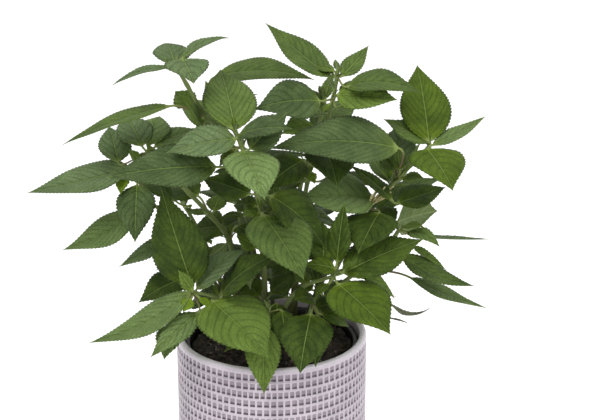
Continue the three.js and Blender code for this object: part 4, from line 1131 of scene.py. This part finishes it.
stem_tubes = []
for k, name in enumerate([*STEMS, *BACK_STEMS]):
    draw = np.random.default_rng(STEM_SEED + k)
    if name in STEMS:
        root, half, listed = STEMS[name]
        nodes = [(seen(at), [in_place(listed_leaf) for listed_leaf in leaves]) for at, leaves in listed]
        tuft_size = TUFT
    else:
        root, half, *climb = BACK_STEMS[name]
        nodes = paired(root, *climb)
        tuft_size = BACK_TUFT
    skin, tube = stalk(root, half, [at for at, leaves in nodes], draw)
    stem_tubes.append(tube)
    skins = [skin]
    for at, leaves in nodes:
        skins += [leaf(at, *form, draw) for form in leaves]
        if len(leaves) > 1 or name in BACK_STEMS:
            skins += [leaf(at, *form, draw) for form in tuft(at, draw, **tuft_size)]
    points, faces, marks = joined(skins)
    piece = mesh_object("sage_" + name, points, faces, foliage, dict(zip(MARKS, marks)))
    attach(piece, "root")
    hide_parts("stem_" + name)


# The straw on the right stem: a fan of thin dry stubs, what is left of old flower stalks. Each is a round
# tapered tube whose foot is sunk in the stem.
STRAWS = [
    # foot and tip as places, half thickness in mm
    ((366, 209, 1), (385, 187, 12), 0.9),
    ((368, 207, 1), (391, 192, 10), 0.8),
    ((365, 210, 1), (376, 190, 14), 0.8),
    ((370, 205, 2), (387, 197, 14), 0.7),
    ((369, 206, 1), (381, 184, 8), 0.7),
    ((372, 203, 2), (394, 186, 6), 0.6),
    ((367, 208, 2), (372, 194, 12), 0.6),
]
STRAW_TAPER = [1.0, 0.95, 0.85, 0.75, 0.6]
STRAW_AROUND = 8
STRAW_COLOUR = (172, 162, 102), (214, 206, 156)
STRAW_ROUGH = 0.7
STRAW_ACROSS = (0, 1.0, 0)  # a direction in which no straw points
turn = 2 * np.pi * np.arange(STRAW_AROUND) / STRAW_AROUND
taper = np.array(STRAW_TAPER)[:, None, None]
skins = []
for foot, tip, half in STRAWS:
    low, high = seen(foot), seen(tip)
    way = unit(high - low)
    side = unit(np.cross(way, np.array(STRAW_ACROSS)))
    ring = side * np.cos(turn)[:, None] + np.cross(way, side) * np.sin(turn)[:, None]
    centre = low + (high - low) * np.linspace(0, 1, len(STRAW_TAPER))[:, None]
    skins.append(closed_tube(centre[:, None] + half * taper * ring[None], [low, high]))
points, faces, _ = joined(skins)

dry_straw, start = finish_of("dry_straw")
streaks = start.node("TexCoord", output=3).noise(300, 3)
coloured = streaks.step(0.35, 0.65).mix(*STRAW_COLOUR)
output_of(start, start.node("BsdfPrincipled", None, {"Base Color": coloured, "Roughness": STRAW_ROUGH}))
straws = mesh_object("dry_flower_stalks", points, faces, dry_straw)
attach(straws, "root")


# The down on the stems: short pale hairs, each a thin three-sided spike rooted in the skin of a stem and
# leaning a little up it. They catch the light at the edge of every stem.
HAIRS_A_STEM = 260
HAIR_LONG = (0.5, 1.2)
HAIR_THICK = 0.055
HAIR_SUNK = 0.15  # share of the stem's radius
HAIR_SPREAD = 0.25  # how far the hairs lean apart
HAIR_RISE = (0, 0, 0.2)  # mm that a tip leans up
HAIR_ACROSS = (0.31, 0.52, 0.8)  # a direction in which no hair points
HAIR_SEED = 55
SPIKE_FACES = np.array([[0, 2, 1], [0, 1, 3], [1, 2, 3], [2, 0, 3]])
HAIR_COLOUR = (176, 176, 146), (212, 212, 190)
HAIR_ROUGH = 0.6
draw = np.random.default_rng(HAIR_SEED)
turn = 2 * np.pi * np.arange(3) / 3
spikes = []
for centre, spokes, radius in stem_tubes:
    row = draw.integers(len(centre) // 6, len(centre) - 1, HAIRS_A_STEM)
    column = draw.integers(0, STEM_AROUND, HAIRS_A_STEM)
    between = draw.uniform(0, 1, (HAIRS_A_STEM, 1))
    out = unit(spokes[row, column] + HAIR_SPREAD * draw.normal(size=(HAIRS_A_STEM, 3)))
    middle = centre[row] * (1 - between) + centre[row + 1] * between
    foot = middle + out * (radius[row] * (1 - HAIR_SUNK))[:, None]
    side = unit(np.cross(out, np.array(HAIR_ACROSS)))
    other = np.cross(out, side)
    length = radius[row, None] * HAIR_SUNK + draw.uniform(*HAIR_LONG, (HAIRS_A_STEM, 1))
    ring = side[:, None] * np.cos(turn)[None, :, None] + other[:, None] * np.sin(turn)[None, :, None]
    tips = foot + out * length + np.array(HAIR_RISE)
    spikes.append(np.concatenate([foot[:, None] + ring * HAIR_THICK, tips[:, None]], axis=1).reshape(-1, 3))
points = np.concatenate(spikes)
faces = (4 * np.arange(len(points) // 4)[:, None, None] + SPIKE_FACES).reshape(-1, 3)

down, start = finish_of("pale_down")
mottled = start.node("TexCoord", output=3).noise(220, 2)
coloured = mottled.step(0.35, 0.65).mix(*HAIR_COLOUR)
output_of(start, start.node("BsdfPrincipled", None, {"Base Color": coloured, "Roughness": HAIR_ROUGH}))
hairs = mesh_object("stem_down", points, [faces], down)
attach(hairs, "root")
